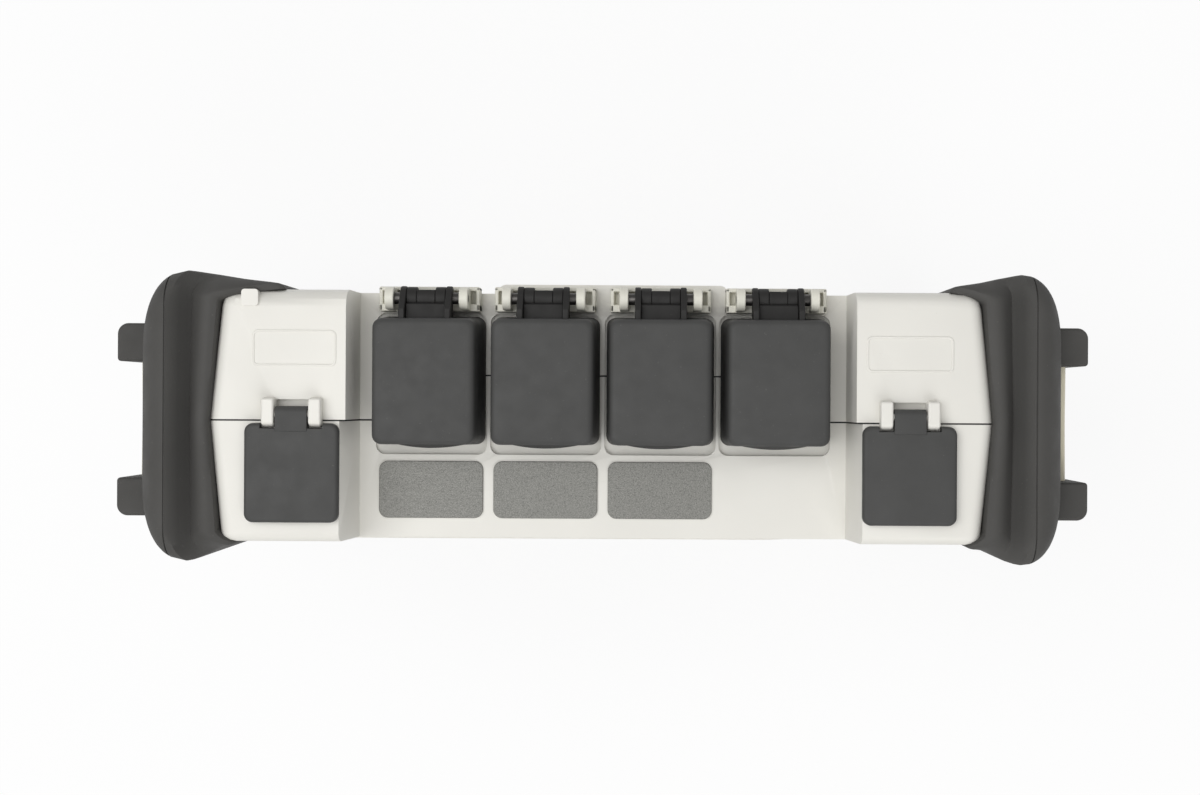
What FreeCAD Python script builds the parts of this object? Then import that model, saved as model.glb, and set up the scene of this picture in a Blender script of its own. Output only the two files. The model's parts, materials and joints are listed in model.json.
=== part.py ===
"""Handheld optical time domain reflectometer, ports on top.

The tester stands upright on its lower edge. X runs along its width, the screen faces -Y, the
kickstand is on the +Y side and the fibre ports look up, along +Z. The origin is the middle of the
footprint, on the surface that the tester stands on. Millimetres throughout.
"""
import FreeCAD, Part
import math
import os

Vec = FreeCAD.Vector

# ---------------------------------------------------------------- driving dimensions
PORT_COUNT = 4
PORT_PITCH = 29.9            # between neighbouring fibre ports
CAP_GAP = 1.7                # between neighbouring port caps
RECESS_MARGIN = 3.8          # from the outermost half pitch to the recess wall
END_ZONE = 35.6              # raised zone beside the recess
RECESS_DEPTH = 17.0
BUMPER_REACH = 21.3          # from the case to the outside of a bumper
LUG_REACH = 5.9              # from the bumper to the outside of a strap lug

HEIGHT = 168.0
CREST = 5.0                  # bumper crest above the case top
FOOT = 4.0                   # case bottom above the surface
FRONT = 31.6                 # front face from the origin plane
BACK = 32.2                  # back face from the origin plane
BUMPER_HALF = 36.8           # bumper tips, front and back
BUMPER_FRONT_REACH = 7.0     # bumper flange over the front face
BUMPER_BACK_REACH = {"left": 19.0, "right": 11.0}
PART_Y = -1.0                # joint between the shells in the end zones
PART_MID_Y = 10.8            # the same joint in the middle zone
WALL = 3.2
DRAFT = 3.0                  # case sides lean in towards front and back
FRONT_ROUND = 2.2            # radius round the front edge of the case
BACK_ROUND = 4.4             # radius round its back edge
TOP_CORNER = 3.6             # upper corners of the case, seen from the front
FOOT_CORNER = 13.0           # lower corners
REAR_LEAN = 1.0              # recess walls lean out behind the joint
FRONT_LEAN = 3.0             # and more in front of it
SEAL = 0.4
SEAL_SINK = 0.35
CORE = 12.8                  # case end inside a bumper
CORE_INSET = 10.0
CORE_CORNER = 10.0
FIT = 0.3                    # clearance round every moving piece
SNUG = 0.1                   # clearance round every seated piece
PAST = 1.0                   # cutting shapes reach this far past a face

CAP_DEPTH = 33.4
CAP_FRONT = -7.2
CAP_HEIGHT = 19.4
CAP_TAPER = 1.5
CAP_WALL = 2.2
CAP_CORNER = 2.4
CAP_EDGE = 1.5
CAP_LIP = 1.1
CAP_LIP_LENGTH = 18.0
CAP_LIP_HEIGHT = 3.0
POCKET_DEPTH = 1.4
POCKET_FRONT = 2.7           # pocket beyond the front of its cap
POCKET_SIDE = 0.4

AXLE_Y = 30.3
AXLE_RISE = 10.0             # cap axle above the recess floor
PIN_R = 1.5
PIN_PLAY = 0.06
BARREL_R = 2.9
ARM_W = 13.2
ARM_GAP = 1.7                # bare pin between arm and ear
EAR_T = 2.3
RIB_W = 1.6                  # side ribs of an arm
RIB_RISE = 1.8               # ribs above the web
ARM_GROOVE = 0.5             # groove between an arm's barrel and its web
NOTCH_W = 4.6                # flat notch in the back of a barrel
NOTCH_DEPTH = 0.8
ARM_STEP = 1.0               # under side of the web above the barrel's
ARM_HEEL = 4.0               # from the axle to where that under side begins
BRACKET_W = 26.0
BRACKET_D = 6.4
BRACKET_T = 3.0
BRACKET_Y = 30.4
BRACKET_CORNER = 2.4
BRACKET_WALL = 1.0
BRACKET_WALL_RISE = 5.4      # rim of a bracket above the recess floor

SLEEVE_BORE_R = 1.25
SLEEVE_R = 2.1
SLEEVE_L = 8.0
SLEEVE_SINK = 2.0            # end of the ferrule sleeve below the mouth's rim
SLEEVE_BURY = 0.5
ADAPTER_W = 9.4
ADAPTER_D = 12.6
ADAPTER_RISE = 12.6
ADAPTER_CORNER = 0.6
ADAPTER_FLANGE_W = 13.4
ADAPTER_FLANGE_D = 21.0
ADAPTER_FLANGE_T = 1.8
ADAPTER_FLANGE_CORNER = 1.0
MOUTH_W = 7.4
MOUTH_D = 9.2
KEYWAY_W = 2.6
KEYWAY_D = 1.3
ADAPTER_TAIL = 6.0
ROUND_ADAPTER_R = 4.0
ROUND_MOUTH_R = 3.2
ROUND_FLANGE_W = 16.6

PLATE_W = 27.2
PLATE_D = 14.9
PLATE_Y = -19.1
PLATE_T = 0.6
PLATE_CORNER = 2.3

COVER_W = 23.6
COVER_D = 24.9
COVER_BACK = -1.7
COVER_T = 2.6
COVER_CORNER = 2.2
COVER_EDGE = 0.9
COVER_NOTCH = 1.3            # depth of the notches that clear the posts
COVER_INSET = 13.9           # from the recess wall to the middle of a side cover
COVER_AXLE_Y = 0.9
COVER_AXLE_RISE = 1.5
COVER_PIN_R = 0.9
TAB_W = 8.0
TAB_R = 1.7
POST_T = 3.2
POST_R = 2.4
BAY_W = 20.6
BAY_D = 22.4
BAY_DEPTH = 6.0
BAY_CORNER = 2.0
BAY_LEDGE = 1.2              # from the back of a side cover to the back wall of its bay
SKIRT_H = 3.0
SKIRT_WALL = 2.0
SKIRT_CORNER = 0.6           # inside the skirt
WINDOW_BACK = 4.3
WINDOW_DEPTH = 2.0
# side of the tester, end of the bay, distance from its wall, outer size X Y Z, opening X Y
SOCKETS = {
    "network_jack": (-1, 1, 0.8, (16.0, 13.4, 16.0), (11.8, 8.4)),
    "micro_usb_socket": (-1, -1, 1.6, (8.4, 3.6, 8.0), (7.0, 2.0)),
    "usb_socket": (1, 1, 1.2, (14.4, 7.0, 15.0), (12.5, 5.1)),
    "power_jack": (1, -1, 1.2, (9.4, 9.4, 12.0), (5.5, 5.5)),
}
SOCKET_FLOOR_T = 2.0
LATCH_W = 6.0                # slot for the latch of a network plug
LATCH_D = 1.6
TONGUE_MARGIN = 0.7          # beside the contact tongue of a socket
TONGUE_SHARE = 0.32          # tongue's part of the opening
TONGUE_SINK = 1.0            # end of a tongue or pin below the opening
CONTACT_BURY = 0.5
JACK_R = 2.8
JACK_PIN_R = 1.0
JACK_DEPTH = 9.5

LENS_W = 140.0
LENS_H = 112.0
LENS_T = 1.8
LENS_SINK = 0.5
LENS_CORNER = 11.0
BEZEL = 3.0
BEZEL_RISE = 1.0
DISPLAY_W = 132.0
DISPLAY_H = 99.0
DISPLAY_T = 6.8
DISPLAY_RIM = 3.0
DISPLAY_CORNER = 1.0
APERTURE_PLAY = 1.0          # opening in the front wall round the display

KEY_RISE = 1.4
KEY_FLANGE = 0.8
KEY_FLANGE_T = 1.2
KEY_TRAVEL = 1.2
KEY_GAP = 2.4
KEY_EDGE = 0.4
KEY_TOP_MARGIN = 15.2        # from the recess floor to the arrow keys
KEY_BOTTOM_MARGIN = 19.4     # from the case bottom to the power key
KEY_GROUP_GAP = 1.9          # gap between key groups, in gaps between rows
PAD_R = 16.8
OK_R = 5.8
FUNCTION_W = 13.6
FUNCTION_H = 9.4
FUNCTION_CORNER = 2.6
FUNCTION_PITCH_X = 17.6
FUNCTION_ROWS = 3
POWER_R = 6.6
LAMP_COUNT = 4
LAMP_PITCH = 8.4
LAMP_R = 1.4
LAMP_BAR_T = 1.2             # bar that joins the light pipes behind the wall
LAMP_BAR_MARGIN = 1.0
LAMP_DROP = 7.8              # lamps below the recess floor
LAMPS_SHIFT = 3.6            # lamps to the right of the keys' middle
KEY_BOARD_T = 1.6
KEY_BOARD_MARGIN = 2.0

BOARD_T = 1.6
BOARD_MARGIN = 6.0
BOARD_GAP = 1.2              # main board below the adapters' tails
BOSS_R = 2.8
KEY_BOSS_R = 1.8
MODULE_W = 122.0
MODULE_H = 40.0
MODULE_FRONT = -14.0
MODULE_BACK = 22.0
MODULE_CORNER = 2.0
BATTERY_W = 50.0
BATTERY_H = 70.0
BATTERY_FRONT = 6.0
BATTERY_CORNER = 4.0
BATTERY_PLAY = 0.5
DOOR_RIM = 3.0
DOOR_T = 2.0
DOOR_CORNER = 3.0

STAND_X = 2.5
STAND_HALF = 24.0
STAND_T = 3.4
STAND_LENGTH = 96.0
STAND_CORNER = 8.0
STAND_DROP = 28.0            # stand axle below the recess floor
STAND_AXLE_Y = 32.6
STAND_PIN_R = 1.2
STAND_BARREL_R = 2.3
STAND_RELIEF = 1.8           # depth of the shallow recess that the stand folds into
STAND_WINDOW_W = 22.0
STAND_WINDOW_H = 52.0
STAND_WINDOW_DROP = 4.0      # middle of the window below the middle of the leg
STAND_WINDOW_CORNER = 5.0
STAND_PIN_END = 1.0          # from the end of the pin to the side of the raised panel
PANEL_HALF = 30.1
PANEL_RISE = 2.4
PANEL_CORNER = 2.2
PANEL_TAIL = 10.0            # raised panel below the stand axle
NUB_INSET = 10.7
NUB_W = 4.2
NUB_RISE = 0.6
NUB_CORNER = 0.8

LUG_DROP = 13.0              # top of the lugs below the case top
LUG_HEIGHT = 23.0
LUG_W = 10.8
LUG_UPPER_Y = 18.4
LUG_LOWER_Y = -20.8
LUG_CORNER = 2.8             # outer corner away from the bar
LUG_SMALL_CORNER = 0.9
BOOT_CORNER = 8.0            # corners of a bumper, seen from the end
BOOT_DROP = 20.0             # rounding from a bumper's ridge to its outer face
SOLE = 0.5                   # taken off under a bumper, so that it stands flat
RIDGE = 9.3                  # from the case end to the ridge on top of a bumper
TIP = 4.0                    # from the case end to a bumper's thickest place, front and back
RIDGE_DROP = 1.6             # bumper depth lost on each side from there to the ridge
VALLEY = 4.8                 # from the case end to the valley on top
LIP = 2.0                    # from the case end to the lip on top
LIP_RISE = 1.8
FLANGE_T = 1.6               # edge of the flanges over the front and back faces
BAR_R = 1.7
BAR_INSET = 4.08             # from the outside of a lug to the middle of its bar
BAR_BURY = 7.56              # length of the bar inside each lug
SCOOP_DEPTH = 5.6
SCOOP_OVER = 11.0            # scoop above and below the strap bar
SCOOP_CORNER = 4.0

# ---------------------------------------------------------------- places worked out from them
CASE_TOP = HEIGHT - CREST
RECESS_FLOOR = CASE_TOP - RECESS_DEPTH
RECESS_HALF = PORT_COUNT * PORT_PITCH / 2 + RECESS_MARGIN
CASE_HALF = RECESS_HALF + END_ZONE
OUTER_HALF = CASE_HALF + BUMPER_REACH
CORE_HALF = CASE_HALF + CORE
INNER_FRONT = -FRONT + WALL
INNER_BACK = BACK - WALL
INNER_HALF = CASE_HALF - DRAFT - WALL
POCKET_FLOOR = RECESS_FLOOR - POCKET_DEPTH
CAP_BASE = POCKET_FLOOR + FIT
CAP_TOP = CAP_BASE + CAP_HEIGHT
CAP_W = PORT_PITCH - CAP_GAP
CAP_BACK = CAP_FRONT + CAP_DEPTH
PORT_Y = (CAP_FRONT + CAP_BACK) / 2
AXLE_Z = RECESS_FLOOR + AXLE_RISE
BAY_FLOOR = CASE_TOP - BAY_DEPTH
BAY_BACK = COVER_BACK - BAY_LEDGE
COVER_FRONT = COVER_BACK - COVER_D
COVER_BASE = CASE_TOP + FIT
COVER_AXLE_Z = CASE_TOP + COVER_AXLE_RISE
PANEL_Y = BACK + PANEL_RISE
BAR_X = OUTER_HALF + LUG_REACH - BAR_INSET
LUG_TOP = CASE_TOP - LUG_DROP
BAR_Z = LUG_TOP - LUG_HEIGHT / 2
COVER_X = RECESS_HALF + COVER_INSET
FACE_HALF = CASE_HALF - BUMPER_FRONT_REACH
SCREEN_X = LENS_W / 2 + BEZEL + SNUG - FACE_HALF
SCREEN_Z = (FOOT + RECESS_FLOOR) / 2 + BEZEL
KEYS_X = (SCREEN_X + LENS_W / 2 + BEZEL + FACE_HALF) / 2
PAD_TOP = RECESS_FLOOR - KEY_TOP_MARGIN
PAD_Z = PAD_TOP - PAD_R
POWER_Z = FOOT + KEY_BOTTOM_MARGIN + POWER_R
KEY_COLUMN_FREE = PAD_TOP - 2 * PAD_R - FUNCTION_ROWS * FUNCTION_H - POWER_Z - POWER_R
KEY_ROW_GAP = KEY_COLUMN_FREE / (FUNCTION_ROWS - 1 + 2 * KEY_GROUP_GAP)
FUNCTION_PITCH_Z = FUNCTION_H + KEY_ROW_GAP
FUNCTION_TOP_Z = PAD_Z - PAD_R - KEY_GROUP_GAP * KEY_ROW_GAP - FUNCTION_H / 2
LAMP_Z = RECESS_FLOOR - LAMP_DROP
LAMPS_X = KEYS_X + LAMPS_SHIFT
STAND_AXLE_Z = RECESS_FLOOR - STAND_DROP
PANEL_BOTTOM = STAND_AXLE_Z - PANEL_TAIL
NUB_X = NUB_INSET - CASE_HALF
BOARD_W = 2 * (INNER_HALF - WALL)
MODULE_Z = POCKET_FLOOR - ADAPTER_TAIL - FIT - MODULE_H / 2
BATTERY_X = WALL + BATTERY_W / 2 + BOARD_MARGIN / 2 - INNER_HALF
BATTERY_Z = (FOOT + WALL + MODULE_Z - MODULE_H / 2) / 2
PORTS = [(number + 1, (number - (PORT_COUNT - 1) / 2) * PORT_PITCH) for number in range(PORT_COUNT)]
SIDES = (("left", -1), ("right", 1))


# ---------------------------------------------------------------- shapes
def box(x, y, z):
    """Box between two limits along each axis."""
    return Part.makeBox(x[1] - x[0], y[1] - y[0], z[1] - z[0], Vec(x[0], y[0], z[0]))


def span(middle, width):
    """Limits of a width about its middle."""
    return (middle - width / 2, middle + width / 2)


def rod(radius, start, end):
    """Cylinder from one point to another."""
    return Part.makeCylinder(radius, (end - start).Length, start, end - start)


def on_x(x):
    """Points of the plane at x from their Y and Z."""
    return lambda u, v: Vec(x, u, v)


def on_y(y):
    """Points of the plane at y from their X and Z."""
    return lambda u, v: Vec(u, y, v)


def on_z(z):
    """Points of the plane at z from their X and Y."""
    return lambda u, v: Vec(u, v, z)


def rounded_wire(u, v, radius, place, upper=None):
    """Rounded rectangle in the plane that place gives, with its own radius for the upper corners."""
    upper = upper or radius
    corners = ((u[1] - radius, v[0] + radius, radius, -90), (u[1] - upper, v[1] - upper, upper, 0),
               (u[0] + upper, v[1] - upper, upper, 90), (u[0] + radius, v[0] + radius, radius, 180))
    arcs = []
    for middle_u, middle_v, bend, start in corners:
        turns = [math.radians(start + step) for step in (0, 45, 90)]
        arcs.append([place(middle_u + bend * math.cos(turn), middle_v + bend * math.sin(turn))
                     for turn in turns])
    edges = []
    for arc, following in zip(arcs, arcs[1:] + arcs[:1]):
        edges.append(Part.Arc(*arc).toShape())
        edges.append(Part.makeLine(arc[2], following[0]))
    return Part.Wire(edges)


def slab_x(y, z, radius, x):
    """Rounded rectangle in Y and Z, carried along X."""
    return Part.Face(rounded_wire(y, z, radius, on_x(x[0]))).extrude(Vec(x[1] - x[0], 0, 0))


def slab_y(x, z, radius, y):
    """Rounded rectangle in X and Z, carried along Y."""
    return Part.Face(rounded_wire(x, z, radius, on_y(y[0]))).extrude(Vec(0, y[1] - y[0], 0))


def slab_z(x, y, radius, z):
    """Rounded rectangle in X and Y, carried along Z."""
    return Part.Face(rounded_wire(x, y, radius, on_z(z[0]))).extrude(Vec(0, 0, z[1] - z[0]))


def prism(points, place, push):
    """Polygon in the plane that place gives, carried along push."""
    corners = [place(u, v) for u, v in points]
    return Part.Face(Part.makePolygon(corners + corners[:1])).extrude(push)


def join(shapes):
    """One solid from pieces that overlap or touch."""
    whole = shapes[0]
    if len(shapes) > 1:
        whole = whole.fuse(list(shapes[1:])).removeSplitter()
    return whole


def taken(shape, tools):
    """What is left of a shape once the tools are cut away."""
    return shape.cut(list(tools))


def mirrored(shape, side):
    """The shape as built for the right side, turned over to the left where side is -1."""
    return shape if side > 0 else shape.mirror(Vec(0, 0, 0), Vec(1, 0, 0))


def rounded_top(outline, low, high, edge):
    """Solid through the wires of outline(height, inset), its upper edge rounded in three steps."""
    wires = [outline(low, 0.0)]
    for turn in (0, 35, 65, 90):
        angle = math.radians(turn)
        wires.append(outline(high - edge * (1 - math.sin(angle)), edge * (1 - math.cos(angle))))
    return Part.makeLoft(wires, True, True)


def front_edges(shape, y):
    """Edges that lie wholly in the plane at y."""
    return [edge for edge in shape.Edges
            if edge.BoundBox.YLength < 0.001 and abs(edge.BoundBox.YMin - y) < 0.001]


# ---------------------------------------------------------------- case
def case_solid(inset=0.0):
    """Outside of both shells together: drafted from the joint, rounded at front and back."""
    stations = [(PART_Y, 0.0, 0.0)]
    for face, way, rounding in ((-FRONT, 1, FRONT_ROUND), (BACK, -1, BACK_ROUND)):
        edge = []
        for turn in (90, 55, 25, 0):
            angle = math.radians(turn)
            drawn_in = rounding * (1 - math.cos(angle))
            edge.append((face + way * rounding * (1 - math.sin(angle)), DRAFT + drawn_in, drawn_in))
        stations = edge + stations if way > 0 else stations + edge[::-1]
    wires = []
    for y, side, top in stations:
        half = CASE_HALF - side - inset
        heights = (FOOT + top + inset, CASE_TOP - top - inset)
        wires.append(rounded_wire((-half, half), heights, FOOT_CORNER - top - inset, on_y(y),
                                  TOP_CORNER - top / 2 - inset))
    return Part.makeLoft(wires, True, True)


def case_core(grow=0.0):
    """Hidden part of the case that carries the bumpers."""
    heights = (FOOT + CORE_INSET - grow, CASE_TOP - CORE_INSET + grow)
    depth = (-FRONT + CORE_INSET / 2 - grow, BACK - CORE_INSET / 2 + grow)
    half = CORE_HALF + grow
    return slab_y((-half, half), heights, CORE_CORNER + grow, depth)


def case_hollow():
    """Space for the electronics, under the recess and up into the end zones."""
    main = slab_y((-INNER_HALF, INNER_HALF), (FOOT + WALL, POCKET_FLOOR - WALL), FOOT_CORNER - WALL,
                  (INNER_FRONT, INNER_BACK))
    ends = [mirrored(box((RECESS_HALF + WALL, INNER_HALF), (INNER_FRONT, INNER_BACK),
                         (POCKET_FLOOR / 2, BAY_FLOOR - WALL)), side) for _, side in SIDES]
    core = case_core(-WALL).cut(box((PAST - INNER_HALF, INNER_HALF - PAST), (-FRONT, BACK), (0, CASE_TOP)))
    return main.fuse(ends + [core])


def recess_cut():
    """Sunk middle zone: wider at its mouth, and wider again in front of the joint."""
    over = CASE_TOP + CREST
    cuts = []
    for lean, y in ((FRONT_LEAN, (-BUMPER_HALF, PART_Y)), (REAR_LEAN, (PART_Y, BUMPER_HALF))):
        points = ((-RECESS_HALF, RECESS_FLOOR), (RECESS_HALF, RECESS_FLOOR),
                  (RECESS_HALF + lean, over), (-RECESS_HALF - lean, over))
        cuts.append(prism(points, on_y(y[0]), Vec(0, y[1] - y[0], 0)))
    return cuts


def pockets():
    """Shallow seats of the port caps, each with the hole for its adapter."""
    cuts = []
    for number, x in PORTS:
        half = CAP_W / 2 + POCKET_SIDE
        cuts.append(slab_z((x - half, x + half), (CAP_FRONT - POCKET_FRONT, CAP_BACK + FIT + POCKET_SIDE),
                           CAP_CORNER, (POCKET_FLOOR, RECESS_FLOOR + PAST)))
        cuts.append(box(span(x, ADAPTER_W + 2 * SNUG), span(PORT_Y, ADAPTER_D + 2 * SNUG),
                        (POCKET_FLOOR - WALL - PAST, POCKET_FLOOR + PAST)))
    return cuts


def bays():
    """Socket bays under the side covers, with the window behind each cover's tab."""
    cuts = []
    for _, side in SIDES:
        x = side * COVER_X
        cuts.append(slab_z(span(x, BAY_W), (BAY_BACK - BAY_D, BAY_BACK), BAY_CORNER,
                           (BAY_FLOOR, CASE_TOP + PAST)))
        cuts.append(box(span(x, TAB_W + 2 * FIT), (COVER_AXLE_Y - TAB_R - 2 * FIT, WINDOW_BACK),
                        (CASE_TOP - WINDOW_DEPTH, CASE_TOP + PAST)))
    for name, (_, _, _, size, _) in SOCKETS.items():
        x, y = socket_place(name)
        cuts.append(box(span(x, size[0] + 2 * SNUG), span(y, size[1] + 2 * SNUG),
                        (BAY_FLOOR - WALL - PAST, BAY_FLOOR + PAST)))
    return cuts


def parting_block(offset):
    """Everything on the screen side of the joint between the shells."""
    far = OUTER_HALF * 2
    front = box((-far, far), (-far, PART_Y + offset), (-far, far))
    step = (PORT_COUNT - 1) / 2 * PORT_PITCH + CAP_W / 4 + offset
    middle = box((-step, step), (-far, PART_MID_Y + offset), (POCKET_FLOOR - WALL / 2 - offset, far))
    return front.fuse(middle)


def case_body():
    """Both shells as one moulding, before they are parted."""
    return taken(case_solid().fuse(case_core()), [case_hollow()] + recess_cut() + pockets() + bays())


def front_shell(body):
    """Screen-side moulding with bezel, key openings, lamp holes and bosses."""
    bezel = slab_y(span(SCREEN_X, LENS_W + 2 * BEZEL), span(SCREEN_Z, LENS_H + 2 * BEZEL),
                   LENS_CORNER + BEZEL, (-FRONT - BEZEL_RISE, INNER_FRONT))
    shell = body.common(parting_block(-SEAL / 2)).fuse([bezel] + front_bosses())
    seat_back = -FRONT - BEZEL_RISE + LENS_SINK + LENS_T
    cuts = [slab_y(span(SCREEN_X, LENS_W + 2 * SNUG), span(SCREEN_Z, LENS_H + 2 * SNUG),
                   LENS_CORNER + SNUG, (-FRONT - 2 * BEZEL_RISE, seat_back)),
            slab_y(span(SCREEN_X, DISPLAY_W + 2 * APERTURE_PLAY),
                   span(SCREEN_Z, DISPLAY_H + 2 * APERTURE_PLAY), DISPLAY_CORNER,
                   (-FRONT - BEZEL_RISE, INNER_FRONT + PAST))]
    through = (-FRONT - PAST, INNER_FRONT + KEY_FLANGE_T + FIT)
    for outline in key_outlines(FIT).values():
        cuts.append(outline(through))
    for x in lamp_places():
        cuts.append(rod(LAMP_R + SNUG, Vec(x, through[0], LAMP_Z), Vec(x, INNER_FRONT + PAST, LAMP_Z)))
    return taken(shell, cuts)


def front_bosses():
    """Posts on the inside of the front shell for the main board and the key board."""
    bosses = []
    for x in span(SCREEN_X, DISPLAY_W - 4 * BOSS_R):
        for z in span(SCREEN_Z, DISPLAY_H + 2 * (DISPLAY_RIM + BOSS_R)):
            bosses.append(rod(BOSS_R - SNUG, Vec(x, INNER_FRONT - PAST, z), Vec(x, board_front(), z)))
    for x in span(KEYS_X, 2 * PAD_R - BOSS_R):
        for z in (POWER_Z - POWER_R, PAD_Z + PAD_R):
            bosses.append(rod(KEY_BOSS_R, Vec(x, INNER_FRONT - PAST, z), Vec(x, key_board_front(), z)))
    return bosses


def rear_shell(body):
    """Back moulding with the raised panel, the stand's seat and the battery opening."""
    panel = slab_z(span(STAND_X, 2 * PANEL_HALF), (INNER_BACK, PANEL_Y), PANEL_CORNER,
                   (PANEL_BOTTOM, RECESS_FLOOR))
    shell = taken(body, [parting_block(SEAL / 2)]).fuse([panel, back_nub()] + rear_bosses())
    stand = STAND_HALF + FIT
    seat_floor = BACK - STAND_RELIEF
    cuts = [box(span(STAND_X, 2 * stand), (seat_floor, PANEL_Y + PAST),
                (STAND_AXLE_Z - STAND_LENGTH - 2 * FIT, STAND_AXLE_Z + STAND_BARREL_R + FIT)),
            rod(STAND_BARREL_R + FIT, Vec(STAND_X - stand, STAND_AXLE_Y, STAND_AXLE_Z),
                Vec(STAND_X + stand, STAND_AXLE_Y, STAND_AXLE_Z)),
            stand_axle(STAND_PIN_R),
            slab_y(span(BATTERY_X, BATTERY_W + 2 * DOOR_RIM + 2 * SNUG),
                   span(BATTERY_Z, BATTERY_H + 2 * DOOR_RIM + 2 * SNUG), DOOR_CORNER,
                   (BACK - DOOR_T, BACK + PAST)),
            box(span(BATTERY_X, BATTERY_W + 2 * BATTERY_PLAY), (INNER_BACK - PAST, BACK + PAST),
                span(BATTERY_Z, BATTERY_H + 2 * BATTERY_PLAY))]
    return taken(shell, cuts)


def back_nub():
    """Small stud on the bevel at the back left corner."""
    return slab_z(span(NUB_X, NUB_W), (BACK - BACK_ROUND, BACK - 2 * SNUG), NUB_CORNER,
                  (RECESS_FLOOR, CASE_TOP + NUB_RISE))


def rear_bosses():
    """Posts on the inside of the rear shell for the optical module."""
    bosses = []
    for side in (-1, 1):
        for z in span(MODULE_Z, MODULE_H - 4 * BOSS_R):
            x = side * (MODULE_W / 2 - 2 * BOSS_R)
            bosses.append(rod(BOSS_R, Vec(x, MODULE_BACK, z), Vec(x, INNER_BACK + PAST, z)))
    return bosses


def shell_seal():
    """Thin dark gasket between the shells, a little below their surface."""
    edge = case_solid(SEAL_SINK).fuse(case_core(-SEAL_SINK))
    band = edge.common(parting_block(SEAL / 2)).cut(parting_block(-SEAL / 2))
    sunk = [cut.translated(Vec(0, 0, -SEAL_SINK)) for cut in recess_cut()]
    return taken(band, [case_hollow()] + sunk + [cut.translated(Vec(0, 0, -SEAL_SINK)) for cut in pockets()])


# ---------------------------------------------------------------- bumpers
def boot_form():
    """Outer form of the right bumper: rounded rectangles along X that draw in to the outer face."""
    ridge = CASE_HALF + RIDGE
    side = BUMPER_HALF - RIDGE_DROP
    stations = [(RECESS_HALF, BUMPER_HALF, 0.0), (CASE_HALF + TIP, BUMPER_HALF, 0.0), (ridge, side, 0.0)]
    for turn in (25, 45, 65, 90):
        angle = math.radians(turn)
        drawn_in = BOOT_DROP * (1 - math.cos(angle))
        stations.append((ridge + (OUTER_HALF - ridge) * math.sin(angle), side - drawn_in, drawn_in))
    wires = [rounded_wire((-half, half), (drop - SOLE, HEIGHT - drop), BOOT_CORNER, on_x(x))
             for x, half, drop in stations]
    return Part.makeLoft(wires, True, True)


def boot_plan(back_reach):
    """Plan of the right bumper: flanges that thin towards the middle of the back and front faces."""
    tip = CASE_HALF + TIP
    far = OUTER_HALF + PAST
    slope = 2 * FLANGE_T
    points = ((back_reach, BACK), (back_reach + slope, BACK + FLANGE_T), (tip, BUMPER_HALF),
              (far, BUMPER_HALF), (far, -BUMPER_HALF), (tip, -BUMPER_HALF),
              (FACE_HALF + slope, -FRONT - FLANGE_T), (FACE_HALF, -FRONT))
    return prism(points, on_z(0), Vec(0, 0, HEIGHT))


def boot_view():
    """Front view of the right bumper: ridge, valley and lip on top."""
    inner = RECESS_HALF
    shoulder = CASE_TOP - TOP_CORNER
    far = OUTER_HALF + PAST
    points = ((inner, FOOT / 2), (CASE_HALF, FOOT / 2), (CASE_HALF + LIP, 0), (far, 0), (far, HEIGHT),
              (CASE_HALF + RIDGE, HEIGHT), (CASE_HALF + VALLEY, CASE_TOP + SNUG),
              (CASE_HALF + LIP, CASE_TOP + LIP_RISE), (CASE_HALF - SNUG, CASE_TOP + LIP_RISE / 2),
              (CASE_HALF - SNUG, shoulder), (inner, shoulder))
    return prism(points, on_y(-BUMPER_HALF), Vec(0, 2 * BUMPER_HALF, 0))


def lug_spans():
    """Limits in Y of the upper and the lower lug."""
    return span(LUG_UPPER_Y, LUG_W), span(LUG_LOWER_Y, LUG_W)


def lug(y, way):
    """Strap lug; of its two outer corners the one that way points to is the rounder."""
    out = OUTER_HALF + LUG_REACH
    block = box((CORE_HALF + WALL, out), y, (LUG_TOP - LUG_HEIGHT, LUG_TOP))
    for radius, place in ((LUG_CORNER, max(way * limit for limit in y)),
                          (LUG_SMALL_CORNER, min(way * limit for limit in y))):
        edges = [edge for edge in block.Edges if edge.BoundBox.ZLength > LUG_HEIGHT / 2
                 and edge.BoundBox.XMin > out - SNUG and abs(edge.BoundBox.YMin - way * place) < SNUG]
        block = block.makeFillet(radius, edges)
    return block


def bumper(side):
    """Rubber boot over one end of the case, with two strap lugs and the scoop behind the bar."""
    back_reach = CASE_HALF - BUMPER_BACK_REACH["left" if side < 0 else "right"]
    boot = boot_form().common(boot_plan(back_reach)).common(boot_view())
    upper, lower = lug_spans()
    scoop = slab_x((lower[1], upper[0]), span(BAR_Z, 2 * SCOOP_OVER), SCOOP_CORNER,
                   (OUTER_HALF - SCOOP_DEPTH, OUTER_HALF + PAST))
    lugs = [lug(upper, 1), lug(lower, -1)]
    boot = taken(boot, [case_solid(), case_core(), scoop]).fuse(lugs)
    return taken(mirrored(taken(boot, [bar_solid()]), side), [back_nub()])


def bar_solid():
    """Strap bar of the right side, from inside one lug to inside the other."""
    upper, lower = lug_spans()
    return rod(BAR_R, Vec(BAR_X, lower[1] - BAR_BURY, BAR_Z), Vec(BAR_X, upper[0] + BAR_BURY, BAR_Z))


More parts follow.
